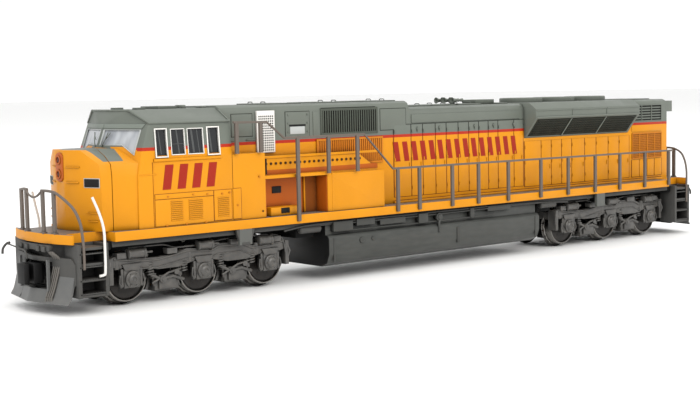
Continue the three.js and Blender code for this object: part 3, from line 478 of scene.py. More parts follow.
def softened(node, material, width=0.12, body="body"):
    """A copy of a plain moulding with its edges rounded."""
    bm.from_mesh(nodes[node].data)
    bmesh.ops.remove_doubles(bm, verts=bm.verts[:], dist=2e-6)
    bmesh.ops.dissolve_limit(bm, angle_limit=math.radians(1.5), verts=bm.verts[:], edges=bm.edges[:])
    return stand(node + "_moulding", material, body, width, (node,), mesh_in_metres=True)


# ---------------------------------------------------------------- repeated details
def repeat_tree(name, shape):
    """Rows and columns of one small shape, as a Geometry Nodes tree with its sizes as inputs."""
    tree = bpy.data.node_groups.new(name, "GeometryNodeTree")
    face = tree.interface
    kinds = {
        "Across count": "NodeSocketInt", "Up count": "NodeSocketInt", "Across step": "NodeSocketVector",
        "Up step": "NodeSocketVector", "Size": "NodeSocketVector", "Turn": "NodeSocketVector",
             "Finish": "NodeSocketMaterial",
    }
    for label, kind in kinds.items():
        face.new_socket(label, in_out="INPUT", socket_type=kind)
    face.new_socket("Geometry", in_out="OUTPUT", socket_type="NodeSocketGeometry")
    given = tree.nodes.new("NodeGroupInput").outputs

    def put(kind, sockets):
        return add_node(tree, "GeometryNode" + kind, sockets)

    row = put("MeshLine", {"Count": given["Across count"], "Offset": given["Across step"]})
    column = put("MeshLine", {"Count": given["Up count"], "Offset": given["Up step"]})
    rows = put("InstanceOnPoints", {"Points": column.outputs[0], "Instance": row.outputs[0]})
    points = put("RealizeInstances", {0: rows.outputs[0]})
    if shape == "bar":
        single = put("MeshCube", {"Size": (1, 1, 1)}).outputs["Mesh"]
    else:
        stud = put("MeshCylinder", {"Vertices": 10, "Radius": 0.5, "Depth": 1.0})
        single = put("Transform",
                     {"Geometry": stud.outputs["Mesh"], "Rotation": (math.pi / 2, 0, 0)}).outputs[0]
    copies = put(
        "InstanceOnPoints",
        {"Points": points.outputs[0], "Instance": single, "Rotation": given["Turn"],
         "Scale": given["Size"]},
    )
    solid = put("RealizeInstances", {0: copies.outputs[0]})
    coated = put("SetMaterial", {"Geometry": solid.outputs[0], "Material": given["Finish"]})
    out = tree.nodes.new("NodeGroupOutput")
    tree.links.new(coated.outputs[0], out.inputs[0])
    return tree


ONCE = (1, (0, 0, 0))
bar_rows = repeat_tree("bar_rows", "bar")
stud_rows = repeat_tree("stud_rows", "stud")


def rows_of(tree, first, across, up, size, turn=(0, 0, 0), finish=None):
    """Adds rows of bars or studs. across and up give a count and a step, and first is where the rows begin."""
    holder = linked("rows", bpy.data.meshes.new("rows"))
    modifier = holder.modifiers.new("rows", "NODES")
    modifier.node_group = tree
    values = {
        "Across count": across[0], "Up count": up[0], "Across step": Vector(across[1]),
              "Up step": Vector(up[1]),
        "Size": Vector(size), "Turn": Vector(turn), "Finish": finish,
    }
    for item in tree.interface.items_tree:
        if item.in_out == "INPUT" and values[item.name] is not None:
            modifier[item.identifier] = values[item.name]
    graph = bpy.context.evaluated_depsgraph_get()
    mesh = bpy.data.meshes.new_from_object(holder.evaluated_get(graph))
    mesh.transform(Matrix.Translation(Vector(first)))
    bm.from_mesh(mesh)
    bpy.data.objects.remove(holder)
    bpy.data.meshes.remove(mesh)


# ---------------------------------------------------------------- camera, light and floor
def set_camera():
    yaw, pitch, roll = (math.radians(a) for a in (49.99, 5.133, -1.126))
    ahead = Vector((-math.cos(yaw) * math.cos(pitch), -math.sin(yaw) * math.cos(pitch), -math.sin(pitch)))
    right = ahead.cross(Vector((0, 0, 1))).normalized()
    up = right.cross(ahead)
    across = math.cos(roll) * right + math.sin(roll) * up
    above = -math.sin(roll) * right + math.cos(roll) * up
    data = bpy.data.cameras.new("camera")
    data.lens = 68.95
    data.sensor_width = 36
    data.clip_start = 0.01
    data.clip_end = 20
    camera = linked("camera", data)
    turn = Matrix((across, above, -ahead)).transposed().to_4x4()
    place = Vector((164.23, 179.84, 31.05 + FLANGE_DEPTH)) * MM
    camera.matrix_world = Matrix.Translation(place) @ turn
    bpy.context.scene.camera = camera


def lamp(name, place, towards, size, power, colour=(1, 1, 1)):
    data = bpy.data.lights.new(name, "AREA")
    data.shape = "RECTANGLE"
    data.size, data.size_y = size
    data.energy = power
    data.color = colour
    aim = (Vector(towards) - Vector(place)).to_track_quat("-Z", "Y").to_matrix().to_4x4()
    linked(name, data).matrix_world = Matrix.Translation(Vector(place)) @ aim


def set_studio():
    bpy.context.scene.view_settings.view_transform = "Standard"
    world = bpy.data.worlds.new("studio")
    world.use_nodes = True
    world.node_tree.nodes["Background"].inputs[0].default_value = (1, 1, 1, 1)
    world.node_tree.nodes["Background"].inputs[1].default_value = 1.04
    bpy.context.scene.world = world
    lamp("key_light", (0.12, 0.75, 0.55), (0, 0, 0.01), (0.7, 0.5), 4.5, (1, 0.98, 0.95))
    lamp("front_light", (0.8, 0.25, 0.35), (0, 0, 0.02), (0.5, 0.5), 1.2)
    lamp("top_light", (-0.1, 0.0, 0.8), (0, 0, 0), (0.9, 0.7), 2.0)
    floor = bmesh.new()
    bmesh.ops.create_grid(floor, x_segments=2, y_segments=2, size=6)
    mesh = bpy.data.meshes.new("floor")
    floor.to_mesh(mesh)
    floor.free()
    mesh.materials.append(plain("pale_floor", (244, 244, 243), 0.7, tint=0.01, depth=1.0, grime=0.0))
    linked("floor", mesh)


set_camera()
set_studio()


# ---------------------------------------------------------------- body mouldings
softened("walkway", deck, 0.08)
softened("hood_shell", body_paint, 0.14)
softened("cab_shell", front_paint, 0.1)
softened("nose_shell", front_paint, 0.1)
softened("radiator_housing", roof_gray, 0.1)
for side in SIDES:
    softened("equipment_box_" + side, yellow, 0.08)
    softened("side_handrail_" + side, rail_gray, 0.07)
for end in ENDS:
    softened(end + "_pilot", frame_gray, 0.07)
    softened(end + "_coupler", black, 0.06, end + "_coupler")
softened("fuel_tank", tank_paint(), 0.15)
softened("exhaust_stack", roof_gray, 0.06)


# ---------------------------------------------------------------- small shapes that many pieces share
def opening_frame(x0, x1, z0, z1, width, y0, y1):
    """A rectangular trim ring on a side wall."""
    block(x0, x0 + width, y0, y1, z0, z1)
    block(x1 - width, x1, y0, y1, z0, z1)
    block(x0 + width, x1 - width, y0, y1, z0, z0 + width)
    block(x0 + width, x1 - width, y0, y1, z1 - width, z1)


def grab_iron(start, end, away, radius=0.1, reach=0.35):
    """A wire grab between two feet, held off its panel."""
    a, b, off = Vector(start), Vector(end), Vector(away).normalized()
    along = (b - a).normalized() * 0.15
    tube([a - off * 0.05, a + off * (reach - 0.1), a + off * reach + along, b + off * reach - along,
          b + off * (reach - 0.1), b - off * 0.05], radius, 6)


def slanted_bar(x, z0, z1, width, y0, y1, lean=0.9):
    """One leaning bar of a painted marking; x is its rear lower corner."""
    plate([(x, z0), (x + width, z0), (x + width - lean, z1), (x - lean, z1)], "y", y0, y1)


def lean_with_cab():
    """Tilts what is on the cab's side in with its upper wall."""
    for vertex in bm.verts:
        over = max(0.0, vertex.co.z - BELT)
        vertex.co.y -= CAB_LEAN * over


# ---------------------------------------------------------------- cab
BELT = 21.7
CAB_LEAN = 0.0816
CAB_WINDOWS = [(56.4, 58.45, True), (53.2, 55.7, False), (49.85, 52.75, False), (47.0, 49.2, True)]
WINDOW_LOW, WINDOW_HIGH = 21.8, 25.75


WINDSHIELD_FOOT = (62.95, 23.1)
WINDSHIELD_SWEEP = 0.255
WINDSHIELD_RAKE = 0.37


def windshield_x(y, z):
    """How far forward the swept, raked windshield stands."""
    return WINDSHIELD_FOOT[0] - WINDSHIELD_SWEEP * abs(y) - WINDSHIELD_RAKE * (z - WINDSHIELD_FOOT[1])


def on_windshield(outline, inner, outer):
    """A plate parallel to the windshield; the outline gives places across and up."""
    between(*([(windshield_x(y, z) + out, y, z) for y, z in outline] for out in (inner, outer)))


def shrunk(outline, by):
    """An outline drawn in towards its middle."""
    middle = Vector((sum(p[0] for p in outline), sum(p[1] for p in outline))) / len(outline)
    out = []
    for p in outline:
        away = Vector(p) - middle
        out.append(tuple(middle + away * (1 - by / away.length)))
    return out


def ring_on_windshield(outline, width, inner, outer):
    inside = shrunk(outline, width)
    for i in range(len(outline)):
        j = (i + 1) % len(outline)
        on_windshield([outline[i], outline[j], inside[j], inside[i]], inner, outer)


PANE = [(0.35, 23.4), (5.0, 23.4), (7.95, 22.0), (7.95, 25.75), (0.35, 25.75)]

# Windows
for x0, x1, framed in CAB_WINDOWS:
    if framed:
        opening_frame(x0 - 0.08, x1 + 0.08, WINDOW_LOW - 0.3, WINDOW_HIGH + 0.14, 0.2, CAB - 0.3,
                      CAB + 0.14)
    else:
        opening_frame(x0 - 0.02, x1 + 0.02, WINDOW_LOW - 0.02, WINDOW_HIGH, 0.14, CAB - 0.3, CAB + 0.03)
lean_with_cab()
pair("cab_window_frames", white, soft=0.04)
for x0, x1, framed in CAB_WINDOWS:
    block(x0 + 0.02, x1 - 0.02, CAB - 0.4, CAB - 0.22, WINDOW_LOW + 0.02, WINDOW_HIGH - 0.02)
lean_with_cab()
pair("cab_side_panes", side_glass)
block(53.2, 55.7, CAB - 0.24, CAB - 0.16, 23.4, 23.48)
for x, width in ((54.1, 0.22), (51.4, 0.34), (57.3, 0.16), (48.2, 0.3), (50.5, 0.14)):
    plate([(x, 22.0), (x + width, 22.0), (x + width + 0.3, 25.6), (x + 0.3, 25.6)], "y", CAB - 0.24,
          CAB - 0.21)
lean_with_cab()
pair("cab_pane_glints", pane_glint)
plate([(CAB - 0.05, 20.85), (CAB + 0.2, 21.0), (CAB + 0.24, 21.3), (CAB - 0.05, 21.42)], "x", 46.8, 58.9)
block(58.4, 61.4, CAB - 0.05, CAB + 0.06, 19.0, 19.16)
pair("cab_arm_rest", yellow, soft=0.06)
on_windshield(shrunk(PANE, 0.05), -0.32, -0.16)
pair("windshield_panes", windscreen)
ring_on_windshield(PANE, 0.26, -0.3, 0.05)
pair("windshield_gaskets", pale_trim, soft=0.03)
tube([(62.75, 1.0, 23.2), (62.5, 1.5, 24.1), (62.1, 2.0, 25.3)], 0.08, 6)
tube([(62.35, 1.3, 24.2), (62.15, 1.95, 24.7), (61.95, 2.4, 25.3)], 0.06, 6)
pair("wipers", roof_gray)

# Roof of the cab
# The visor band is painted in the lighter gray: painted highlight.
band = [(-0.15, 25.9), (8.1, 25.9), (8.55, 26.6), (-0.15, 26.6)]
on_windshield(band, -0.05, 0.14)
pair("visor_band", roof_gray_highlight, soft=0.04)
brow = [(60.9, 0, 28.58), (60.5, 5.55, 28.58), (59.35, 9.02, 26.68), (52, 9.1, 26.66), (44.9, 9.12, 26.64)]
tube(brow, 0.17, 8)
tube([(44.9, 9.0, 26.64), (44.95, 5.6, 28.62), (44.95, 0, 28.62)], 0.12, 6)
pair("roof_gutter", roof_gray)
for x0, x1, y0, y1, height in ((50.2, 53.6, -2.6, 2.6, 0.42), (56.6, 58.2, -3.9, -2.6, 0.3),
                               (56.6, 58.2, 2.6, 3.9, 0.3),
                               (47.3, 48.5, -0.6, 0.6, 0.5), (45.4, 46.2, 1.8, 3.6, 0.25)):
    block(x0, x1, y0, y1, 28.5, 28.65 + height)
turned([(28.5, 0), (28.5, 0.45), (29.1, 0.4), (29.2, 0)], "z", (48.9, 2.4, 0), 16)
stand("cab_roof_equipment", roof_gray, soft=0.08)

# Doors, louvres and marking under the side windows
on_cab(48.5, 58.9, 0.09, 11.3, 15.25)
on_cab(48.5, 58.9, 0.12, 15.32, 16.05)
on_cab(45.1, 48.35, 0.09, 11.4, 16.05)
on_cab(43.3, 44.8, 0.09, 11.4, 16.1)
on_cab(58.98, 59.1, 0.08, 11.3, 20.8)
pair("cab_side_doors", yellow, soft=0.05)
# Dark strips in the gaps around the cab doors: painted shade.
for x0, x1, z0, z1 in ((48.42, 58.96, 11.24, 16.11), (45.0, 48.42, 11.3, 16.11), (43.2, 44.75, 11.3, 16.16),
                       (59.1, 59.16, 11.2, 20.9)):
    on_cab(x0, x1, 0.02, z0, z1)
pair("cab_door_seams", seam_shade_brown)
for x0, x1 in ((54.1, 56.2), (50.5, 53.0), (45.6, 47.7)):
    rows_of(bar_rows, ((x0 + x1) / 2, CAB + 0.11, 12.0), ONCE, (11, (0, 0, 0.29)),
            (x1 - x0, 0.16, 0.13), turn=(0.5, 0, 0))
pair("cab_door_louvres", yellow)
for x, z in ((56.7, 15.55), (52.2, 15.6), (49.6, 15.5), (46.9, 15.4), (45.5, 15.5), (44.0, 13.4),
             (39.7, 17.6)):
    block(x - 0.16, x + 0.16, CAB, CAB + 0.22, z, z + 0.2)
for x in (50, 53.5, 57):
    block(x - 0.2, x + 0.2, CAB, CAB + 0.18, 11.2, 11.42)
pair("cab_door_latches", yellow_shadow, soft=0.03)
for i in range(4):
    slanted_bar(48.2 + 2.62 * i, 16.7, 20.4, 1.45, CAB - 0.05, CAB + 0.03, 0.6)
pair("cab_side_marking", red)


# ---------------------------------------------------------------- nose
NOSE_CORNER = (69.28, 1.3)
NOSE_OUT = (0.9357, 0.3525)


def on_nose(t, out, z):
    """A place on the slanted front facet: t across from its inner corner, out from its face."""
    ahead, across = NOSE_OUT
    return (NOSE_CORNER[0] - across * t + ahead * out, NOSE_CORNER[1] + ahead * t + across * out, z)


def nose_plate(t0, t1, z0, z1, inner, outer):
    corners = [(t0, z0), (t1, z0), (t1, z1), (t0, z1)]
    between(*([on_nose(t, out, z) for t, z in corners] for out in (inner, outer)))


nose_plate(3.75, 6.55, 17.55, 18.8, -0.1, 0.14)
pair("nose_number_boards", black, soft=0.1)
nose_plate(3.66, 6.64, 17.46, 18.89, -0.1, 0.07)
pair("nose_number_board_trim", pale_trim, soft=0.03)
for t0, t1, z in ((0.35, 2.9, 20.5), (0.35, 2.7, 18.2), (4.3, 6.1, 13.8), (4.3, 6.1, 12.6)):
    grab_iron(on_nose(t0, 0, z), on_nose(t1, 0, z), (*NOSE_OUT, 0), 0.09, 0.22)
pair("nose_grab_irons", yellow)
half, low, high = 1.05, 19.0, 21.85
outline = []
for first, end_height in ((0, high), (math.pi, low)):
    for k in range(25):
        turn = first + math.pi * k / 24
        outline.append((half * math.cos(turn), end_height + 0.75 * math.sin(turn)))
plate(outline, "x", 69.0, 69.5)
stand("headlight_bezel", bezel_orange, soft=0.1)
for z in (21.5, 19.4):
    turned([(69.45, 0), (69.45, 0.72), (69.68, 0.72), (69.68, 0.5), (69.52, 0.45), (69.5, 0)], "x",
           (0, 0, z), 24)
stand("headlight_rings", bezel_orange)
for z in (21.5, 19.4):
    turned([(69.5, 0), (69.5, 0.46), (69.58, 0.36), (69.62, 0.16), (69.63, 0)], "x", (0, 0, z), 20)
stand("headlight_lenses", lamp_red)


# ---------------------------------------------------------------- tall hood, duct and intakes
# Upper panels
on_hood(34.35, 37.9, 0.42, 21.25, 27.95)
pair("perforated_screen", white, soft=0.06)
rows_of(stud_rows, (34.8, HOOD + 0.4, 21.65), (8, (0.38, 0, 0)), (15, (0, 0, 0.385)), (0.27, 0.06, 0.27))
pair("screen_perforations", pitch_dark)
for x0, x1, z0, z1 in ((27.0, 31.9, 23.6, 27.6), (38.6, 42.6, 24.0, 27.5), (25.0, 26.2, 23.6, 27.6)):
    on_hood(x0, x1, 0.08, z0, z1)
on_hood(5.5, 11.4, 0.08, 24.0, 27.6)
pair("tall_hood_panels", roof_gray, soft=0.05)
for x in (39.0, 42.2):
    grab_iron((x - 0.8, HOOD, 23.4), (x + 0.8, HOOD, 23.4), (0, 1, 0), 0.08, 0.25)
for x in (27.4, 31.4):
    for z in (24.2, 25.6, 27.0):
        block(x - 0.12, x + 0.12, HOOD, HOOD + 0.18, z, z + 0.3)
pair("tall_hood_fittings", roof_gray, soft=0.03)
block(28.0, 31.0, HOOD + 0.02, HOOD + 0.12, 24.0, 25.2)
pair("blank_placard", pale_trim, soft=0.03)
block(27.8, 31.2, HOOD + 0.02, HOOD + 0.1, 25.25, 25.55)
pair("placard_head_strip", black)

# Louvred intakes
x0, x1, z0, z1 = 12.0, 24.6, 23.55, 28.0
for name, mirror in SIDES.items():
    block(12.45, 24.3, HOOD - 0.75, HOOD - 0.45, 23.9, 28.0)
    opening_frame(x0, x1, z0, z1, 0.4, HOOD - 0.5, HOOD + 0.1)
    rows_of(bar_rows, (12.75, HOOD - 0.12, (z0 + z1) / 2), (24, (0.49, 0, 0)), ONCE,
            (0.24, 0.5, z1 - z0 - 0.7))
    flip(y=mirror)
    stand("intake_louvres_" + name, intake_gray, soft=0.02, stands_for=("intake_grille_" + name,))
# The wall behind the lower intake's louvres is painted darker: painted shade.
on_hood(11.2, 25.4, 0.03, 18.7, 22.8)
pair("lower_intake_gaps", recess_shade_orange)
rows_of(bar_rows, (11.5, HOOD + 0.03, 20.75), (31, (0.455, 0, 0)), ONCE, (0.25, 0.22, 4.0))
opening_frame(11.0, 25.6, 18.5, 22.95, 0.3, HOOD - 0.1, HOOD + 0.2)
pair("lower_intake_louvres", yellow_shadow)

# The duct along the side and the recess under it
face = HOOD + 1.6
rows_of(stud_rows, (17.6, face + 0.02, 19.5), (21, (0.98, 0, 0)), ONCE, (0.42, 0.2, 0.42))
rows_of(stud_rows, (39.1, CAB + 0.02, 12.2), ONCE, ONCE, (0.3, 0.12, 0.3))
pair("duct_bolts", bolt_brown)
# The walls of the recess under the duct are painted darker: painted shade.
on_hood(25.9, 38.4, 0.06, 11.15, 17.2)
block(25.75, 25.95, HOOD, CAB - 0.15, 11.15, 17.1)
block(38.3, 38.5, HOOD, CAB - 0.15, 11.15, 17.1)
block(13.6, 38.4, HOOD, face + 0.03, 17.7, 18.5)
pair("recess_walls", recess_shade_orange)
block(13.5, 37.6, face - 0.1, face + 0.14, 20.35, 20.75)
block(24.9, 38.4, face - 0.2, CAB - 0.1, 17.3, 17.65)
block(24.6, 24.9, 7.0, CAB + 0.06, 11.15, 17.5)
pair("duct_flanges", yellow, soft=0.06)
block(30.9, 36.9, HOOD, 8.6, 11.1, 12.5)
block(28.4, 28.7, HOOD, 6.75, 11.1, 17.2)
pair("recess_boxes", yellow, soft=0.15)
# A dark bay at the back of the recess: painted shade.
block(26.0, 28.3, HOOD, 6.55, 11.15, 17.2)
pair("recess_shaded_bay", seam_shade_brown)
block(33.2, 35.0, HOOD, HOOD + 0.2, 14.6, 15.7)
pair("recess_plate", black, soft=0.05)
block(33.2, 34.9, 8.5, 8.68, 11.5, 12.35)
block(37.75, 37.95, HOOD, CAB - 0.5, 17.9, 20.4)
pair("recess_fittings", black, soft=0.03)


# ---------------------------------------------------------------- long hood
LONG_SEAMS = [8.4, 4.3, 1.5, -1.6, -4.3, -7.3, -10.0, -12.6, -15.1, -17.7, -22.0, -24.6]
UNDER_RADIATOR = [-24.9, -29.6, -32.5, -35.5, -38.5, -42.4, -45.9, -49.65, -53.1, -56.4]
REAR_SEAMS = [-57.2, -59.7, -62.25, -64.7, -67.2]

# Doors
runs = ((LONG_SEAMS, 12.2, 24.75), (UNDER_RADIATOR, 12.0, 20.6), (REAR_SEAMS, 12.0, 15.5))
for seams, low, high in runs:
    for front, rear in zip(seams, seams[1:]):
        on_hood(rear + 0.09, front - 0.09, 0.09, low, high)
on_hood(-67.2, 8.6, 0.3, 11.1, 11.5)
on_hood(-67.2, -57.2, 0.09, 21.3, 23.4)
pair("hood_doors", body_paint, soft=0.05)
# Dark strips in the gaps between the hood doors: painted shade.
for seams, low, high in runs:
    on_hood(seams[-1], seams[0], 0.025, low - 0.09, low + 0.2)
    on_hood(seams[-1], seams[0], 0.025, min(high, 22.3) - 0.1, min(high, 22.3))
    for x in seams:
        on_hood(x - 0.1, x + 0.1, 0.025, low, min(high, STRIPE_LOW))
on_hood(-67.2, 8.6, 0.06, 11.5, 11.6)
pair("hood_seams", seam_shade_brown)
# Dark gray strips in the gaps of the upper hood: painted shade.
for x in LONG_SEAMS[:-1]:
    on_hood(x - 0.1, x + 0.1, 0.025, STRIPE_HIGH, 24.85)
on_hood(LONG_SEAMS[-1], LONG_SEAMS[0], 0.06, 24.72, 24.86)
for x0, x1, z0, z1 in ((26.9, 32.0, 23.5, 27.7), (38.5, 42.7, 23.9, 27.6), (5.4, 11.5, 23.9, 27.7)):
    on_hood(x0, x1, 0.025, z0, z1)
pair("upper_hood_seams", seam_shade_gray)
on_hood(-23.6, 4.15, 0.13, 25.0, 26.5)
pair("upper_hood_panel", roof_gray, soft=0.05)
for seams, low, high in runs[:2]:
    for front, rear in zip(seams, seams[1:]):
        for z in (low + 1.2, (low + high) / 2, high - 1.4):
            block(front - 0.3, front - 0.12, HOOD + 0.05, HOOD + 0.2, z, z + 0.5)
        middle = (low + high) / 2
        block(rear + 0.35, rear + 0.5, HOOD + 0.05, HOOD + 0.2, middle - 1.2, middle - 0.4)
pair("hood_hinges", body_paint)
for x in (2.8, -2.6, -11.5, -16.5, -21.9):
    block(x - 0.3, x + 0.3, HOOD, HOOD + 0.24, 23.9, 24.2)
    block(x - 0.12, x + 0.12, HOOD, HOOD + 0.3, 23.5, 24.3)
pair("hood_latches", roof_gray, soft=0.03)
for i in range(15):
    slanted_bar(6.9 - 2.12 * i, 18.4, 21.8, 1.15, HOOD + 0.07, HOOD + 0.12, -0.55)
pair("hood_side_marking", red)

# Grilles at the rear of the hood
# The backing behind the rear grilles is painted darker orange as shade.
on_hood(-67.0, -57.4, 0.05, 15.8, 20.9)
pair("rear_grille_backing", grille_shade_orange)
opening_frame(-67.1, -57.3, 15.7, 21.0, 0.22, HOOD - 0.05, HOOD + 0.2)
for x in (-59.7, -62.25, -64.7):
    block(x - 0.12, x + 0.12, HOOD - 0.05, HOOD + 0.18, 15.8, 20.9)
rows_of(bar_rows, (-62.2, HOOD + 0.08, 16.1), ONCE, (14, (0, 0, 0.36)), (9.4, 0.1, 0.1))
rows_of(bar_rows, (-66.8, HOOD + 0.06, 18.35), (30, (0.32, 0, 0)), ONCE, (0.08, 0.1, 5.0))
pair("rear_grilles", yellow_shadow)
for k in range(6):
    on_hood(-66.9, -57.6, 0.06, 23.55 + 0.55 * k, 23.78 + 0.55 * k)
pair("rear_vent_slots", pitch_dark)
opening_frame(-67.1, -57.3, 23.35, 26.75, 0.16, HOOD - 0.05, HOOD + 0.14)
for x in (-60.5, -63.7):
    block(x - 0.1, x + 0.1, HOOD - 0.05, HOOD + 0.12, 23.4, 26.7)
pair("rear_vent_frames", roof_gray)

# The back wall: doors, blank number boards, grab irons and lamps
back = -69.0
block(back - 0.1, back + 0.1, -2.3, 2.3, 11.6, 20.6)
for side in (1, -1):
    block(back - 0.1, back + 0.1, *span(side, 2.7, 5.6), 11.6, 15.6)
stand("rear_doors", yellow, soft=0.05)
# Dark strips around the rear doors: painted shade.
block(back - 0.03, back + 0.1, -2.42, 2.42, 11.48, 20.72)
for side in (1, -1):
    block(back - 0.03, back + 0.1, *span(side, 2.58, 5.72), 11.48, 15.72)
stand("rear_door_seams", seam_shade_brown)
rows_of(bar_rows, (back - 0.12, 0, 12.4), ONCE, (9, (0, 0, 0.34)), (0.12, 3.4, 0.16))
for z in (13, 16.5, 19.6):
    block(back - 0.24, back, -2.2, -1.9, z, z + 0.6)
stand("rear_door_louvres", yellow_shadow)
for k in range(6):
    grab_iron((back, 3.6, 16.4 + 0.95 * k), (back, 5.3, 16.4 + 0.95 * k), (-1, 0, 0), 0.09, 0.3)
grab_iron((back, -5.0, 12.5), (back, -5.0, 15.0), (-1, 0, 0), 0.09, 0.3)
stand("rear_grab_irons", yellow)
for side in (1, -1):
    block(back - 0.22, back + 0.1, *span(side, 2.9, 5.5), 23.5, 24.6)
stand("rear_number_boards", black, soft=0.08)
for side in (1, -1):
    turned([(back + 0.1, 0.85), (back - 0.25, 0.85), (back - 0.3, 0.62), (back + 0.1, 0.6),
            (back + 0.1, 0.85)], "x", (0, side * 0.86, 23.8), 24)
stand("rear_lamp_rings", roof_gray)


# ---------------------------------------------------------------- radiator and roof
RADIATOR_REAR, RADIATOR_FRONT = -56.0, -24.9
FLARE_FOOT = (HOOD, 21.2)
FLARE_EDGE = (CAB, 25.0)
DIVIDERS = (-35.3, -45.6)


def on_flare(x, t, out):
    """A place on the slanted radiator face: t is 0 at its foot and 1 at its edge."""
    dy, dz = FLARE_EDGE[0] - FLARE_FOOT[0], FLARE_EDGE[1] - FLARE_FOOT[1]
    size = math.hypot(dy, dz)
    return (x, FLARE_FOOT[0] + dy * t + out * dz / size, FLARE_FOOT[1] + dz * t - out * dy / size)


def flare_block(x0, x1, t0, t1, inner, outer):
    corners = ((x0, t0), (x1, t0), (x1, t1), (x0, t1))
    between(*([on_flare(x, t, out) for x, t in corners] for out in (inner, outer)))


for i in range(7):
    t = 0.14 + 0.12 * i
    flare_block(RADIATOR_REAR + 1.0, RADIATOR_FRONT - 1.0, t, t + 0.02, -0.1, 0.02)
WIRES = 60
step = (RADIATOR_FRONT - RADIATOR_REAR - 2) / WIRES
for i in range(WIRES):
    x = RADIATOR_REAR + 1.0 + step * i
    flare_block(x, x + 0.1, 0.1, 0.92, -0.1, 0.02)
pair("radiator_mesh_wires", wire_gray)
# The dividers are painted in the lighter gray: painted highlight.
for x in DIVIDERS:
    flare_block(x - 0.12, x + 0.12, 0.06, 0.96, -0.15, 0.1)
pair("radiator_dividers", roof_gray_highlight)
block(RADIATOR_REAR + 0.2, RADIATOR_FRONT - 0.2, 9.3, 9.52, 25.0, 25.3)
block(RADIATOR_REAR + 0.2, RADIATOR_FRONT - 0.2, 9.3, 9.5, 26.35, 26.62)
for x in DIVIDERS:
    block(x - 0.1, x + 0.1, 9.3, 9.5, 25.1, 26.6)
pair("radiator_edge_trim", roof_gray, soft=0.04)

# Fans
top = 27.9
tilt = Matrix.Rotation(0.35, 4, "X")
centre = Matrix.Translation(Vector((0, 0, top + 0.25)))
for place, x in zip(("front", "middle", "rear"), (-30.9, -40.4, -49.9)):
    turned([(top, 3.6), (top, 4.2), (top + 0.75, 4.2), (top + 0.9, 4.05), (top + 0.9, 3.75),
            (top + 0.7, 3.6), (top, 3.6)], "z", (x, 0, 0), 48)
    turned([(top - 0.05, 0), (top - 0.05, 0.9), (top + 0.6, 0.9), (top + 0.75, 0.6), (top + 0.75, 0)], "z",
           (x, 0, 0), 24)
    for k in range(8):
        turn = Matrix.Rotation(2 * math.pi * k / 8, 4, "Z")
        moved = Matrix.Translation(Vector((x, 0, 0))) @ turn @ centre @ tilt @ centre.inverted()
        blade = block(0.8, 3.65, -0.55, 0.55, top + 0.12, top + 0.22)
        bmesh.ops.transform(bm, matrix=moved, verts=blade)
    for k in range(10):
        y = -3.4 + 0.755 * k
        half = math.sqrt(max(0.0, 3.7**2 - y**2))
        block(x - half, x + half, y - 0.05, y + 0.05, top + 0.68, top + 0.78)
    stand("roof_fan_" + place + "_detailed", roof_gray, stands_for=("roof_fan_" + place,))

# Hatches and lift rings
for x0, x1 in ((-3.0, 2.4), (-9.6, -4.0), (-16.2, -10.6), (-23.4, -21.2)):
    block(x0, x1, -3.6, 3.6, 27.7, 28.05)
for x in (9.5, 20.0, 30.5):
    block(x - 3.6, x + 3.6, -4.2, 4.2, 28.8, 29.08)
block(-66.4, -58.0, -3.8, 3.8, 27.7, 28.0)
stand("roof_hatches", roof_gray, soft=0.1)
for x in (-1.5, -8.0, -14.6, 7, 18, 33):
    z = 29.08 if x > 5 else 28.05
    grab_iron((x, -2.4, z), (x, -1.2, z), (0, 0, 1), 0.08, 0.22)
    grab_iron((x, 1.2, z), (x, 2.4, z), (0, 0, 1), 0.08, 0.22)
stand("roof_lift_rings", roof_gray)

# Five bells on one bar, turned so that they flare like real ones
height = 27.8 + 0.9
centre = -12.2
tube([(centre, -2.3, height), (centre, 2.3, height)], 0.24, 10)
block(centre - 0.3, centre + 0.3, -0.3, 0.3, 27.8, height)
for i, y in enumerate((-2.1, -1.05, 0, 1.05, 2.1)):
    reach = 1.6 if i % 2 else 2.2
    profile = [(-0.5, 0), (-0.5, 0.34), (0.2, 0.24), (reach - 0.6, 0.34), (reach, 0.58), (reach, 0.46),
               (reach - 0.5, 0)]
    turned([(centre + a, r) for a, r in profile], "x", (0, y, height), 14)
stand("horn_bells", roof_gray, stands_for=("horn",))


# ---------------------------------------------------------------- underframe
FILLER_X = 26.6 - 8
outline = [(40.9, 9.7), (41.5, 7.8), (43.9, 7.8), (44.5, 9.7)]
plate(outline, "y", 9.05, 9.62)
block(41.9, 43.5, 9.05, 9.7, 7.2, 7.6)
block(-66.0, 66.0, 7.9, 8.7, 8.8, 9.75)
pair("side_frame_gray", frame_gray, soft=0.07)
# Near-black blocks in the gaps between the trucks, the tank and the pilots: painted shade.
for s in (1, -1):
    block(*span(s, 27.2, 31.0), -7.2, 7.2, 7.0, 9.72)
    block(*span(s, 66.1, 67.2), -8.6, 8.6, 8.5, 9.72)
stand("shadow_blocks_under_frame", pitch_dark, soft=0.1)
for s in (1, -1):
    profile = [(-2.2, 0), (-2.2, 0.4), (-2.0, 0.62), (2.0, 0.62), (2.2, 0.4), (2.2, 0)]
    turned([(s * 29.0 + a, r) for a, r in profile], "x", (0, 8.3, 8.4), 20)
tube(smooth_path([(34.5, 8.7, 8.6), (28, 8.9, 9.2), (10, 8.9, 9.2), (-20, 8.9, 9.2), (-34.5, 8.7, 8.6)], 4),
     0.16, 6)
pair("air_reservoirs", frame_gray)
for s in (1, -1):
    block(*span(s, 24.4, 24.8), 9.2, 9.36, 2.6, 6.6)
turned([(9.2, 0), (9.2, 0.55), (9.5, 0.5), (9.55, 0)], "y", (FILLER_X, 0, 5.8), 20)
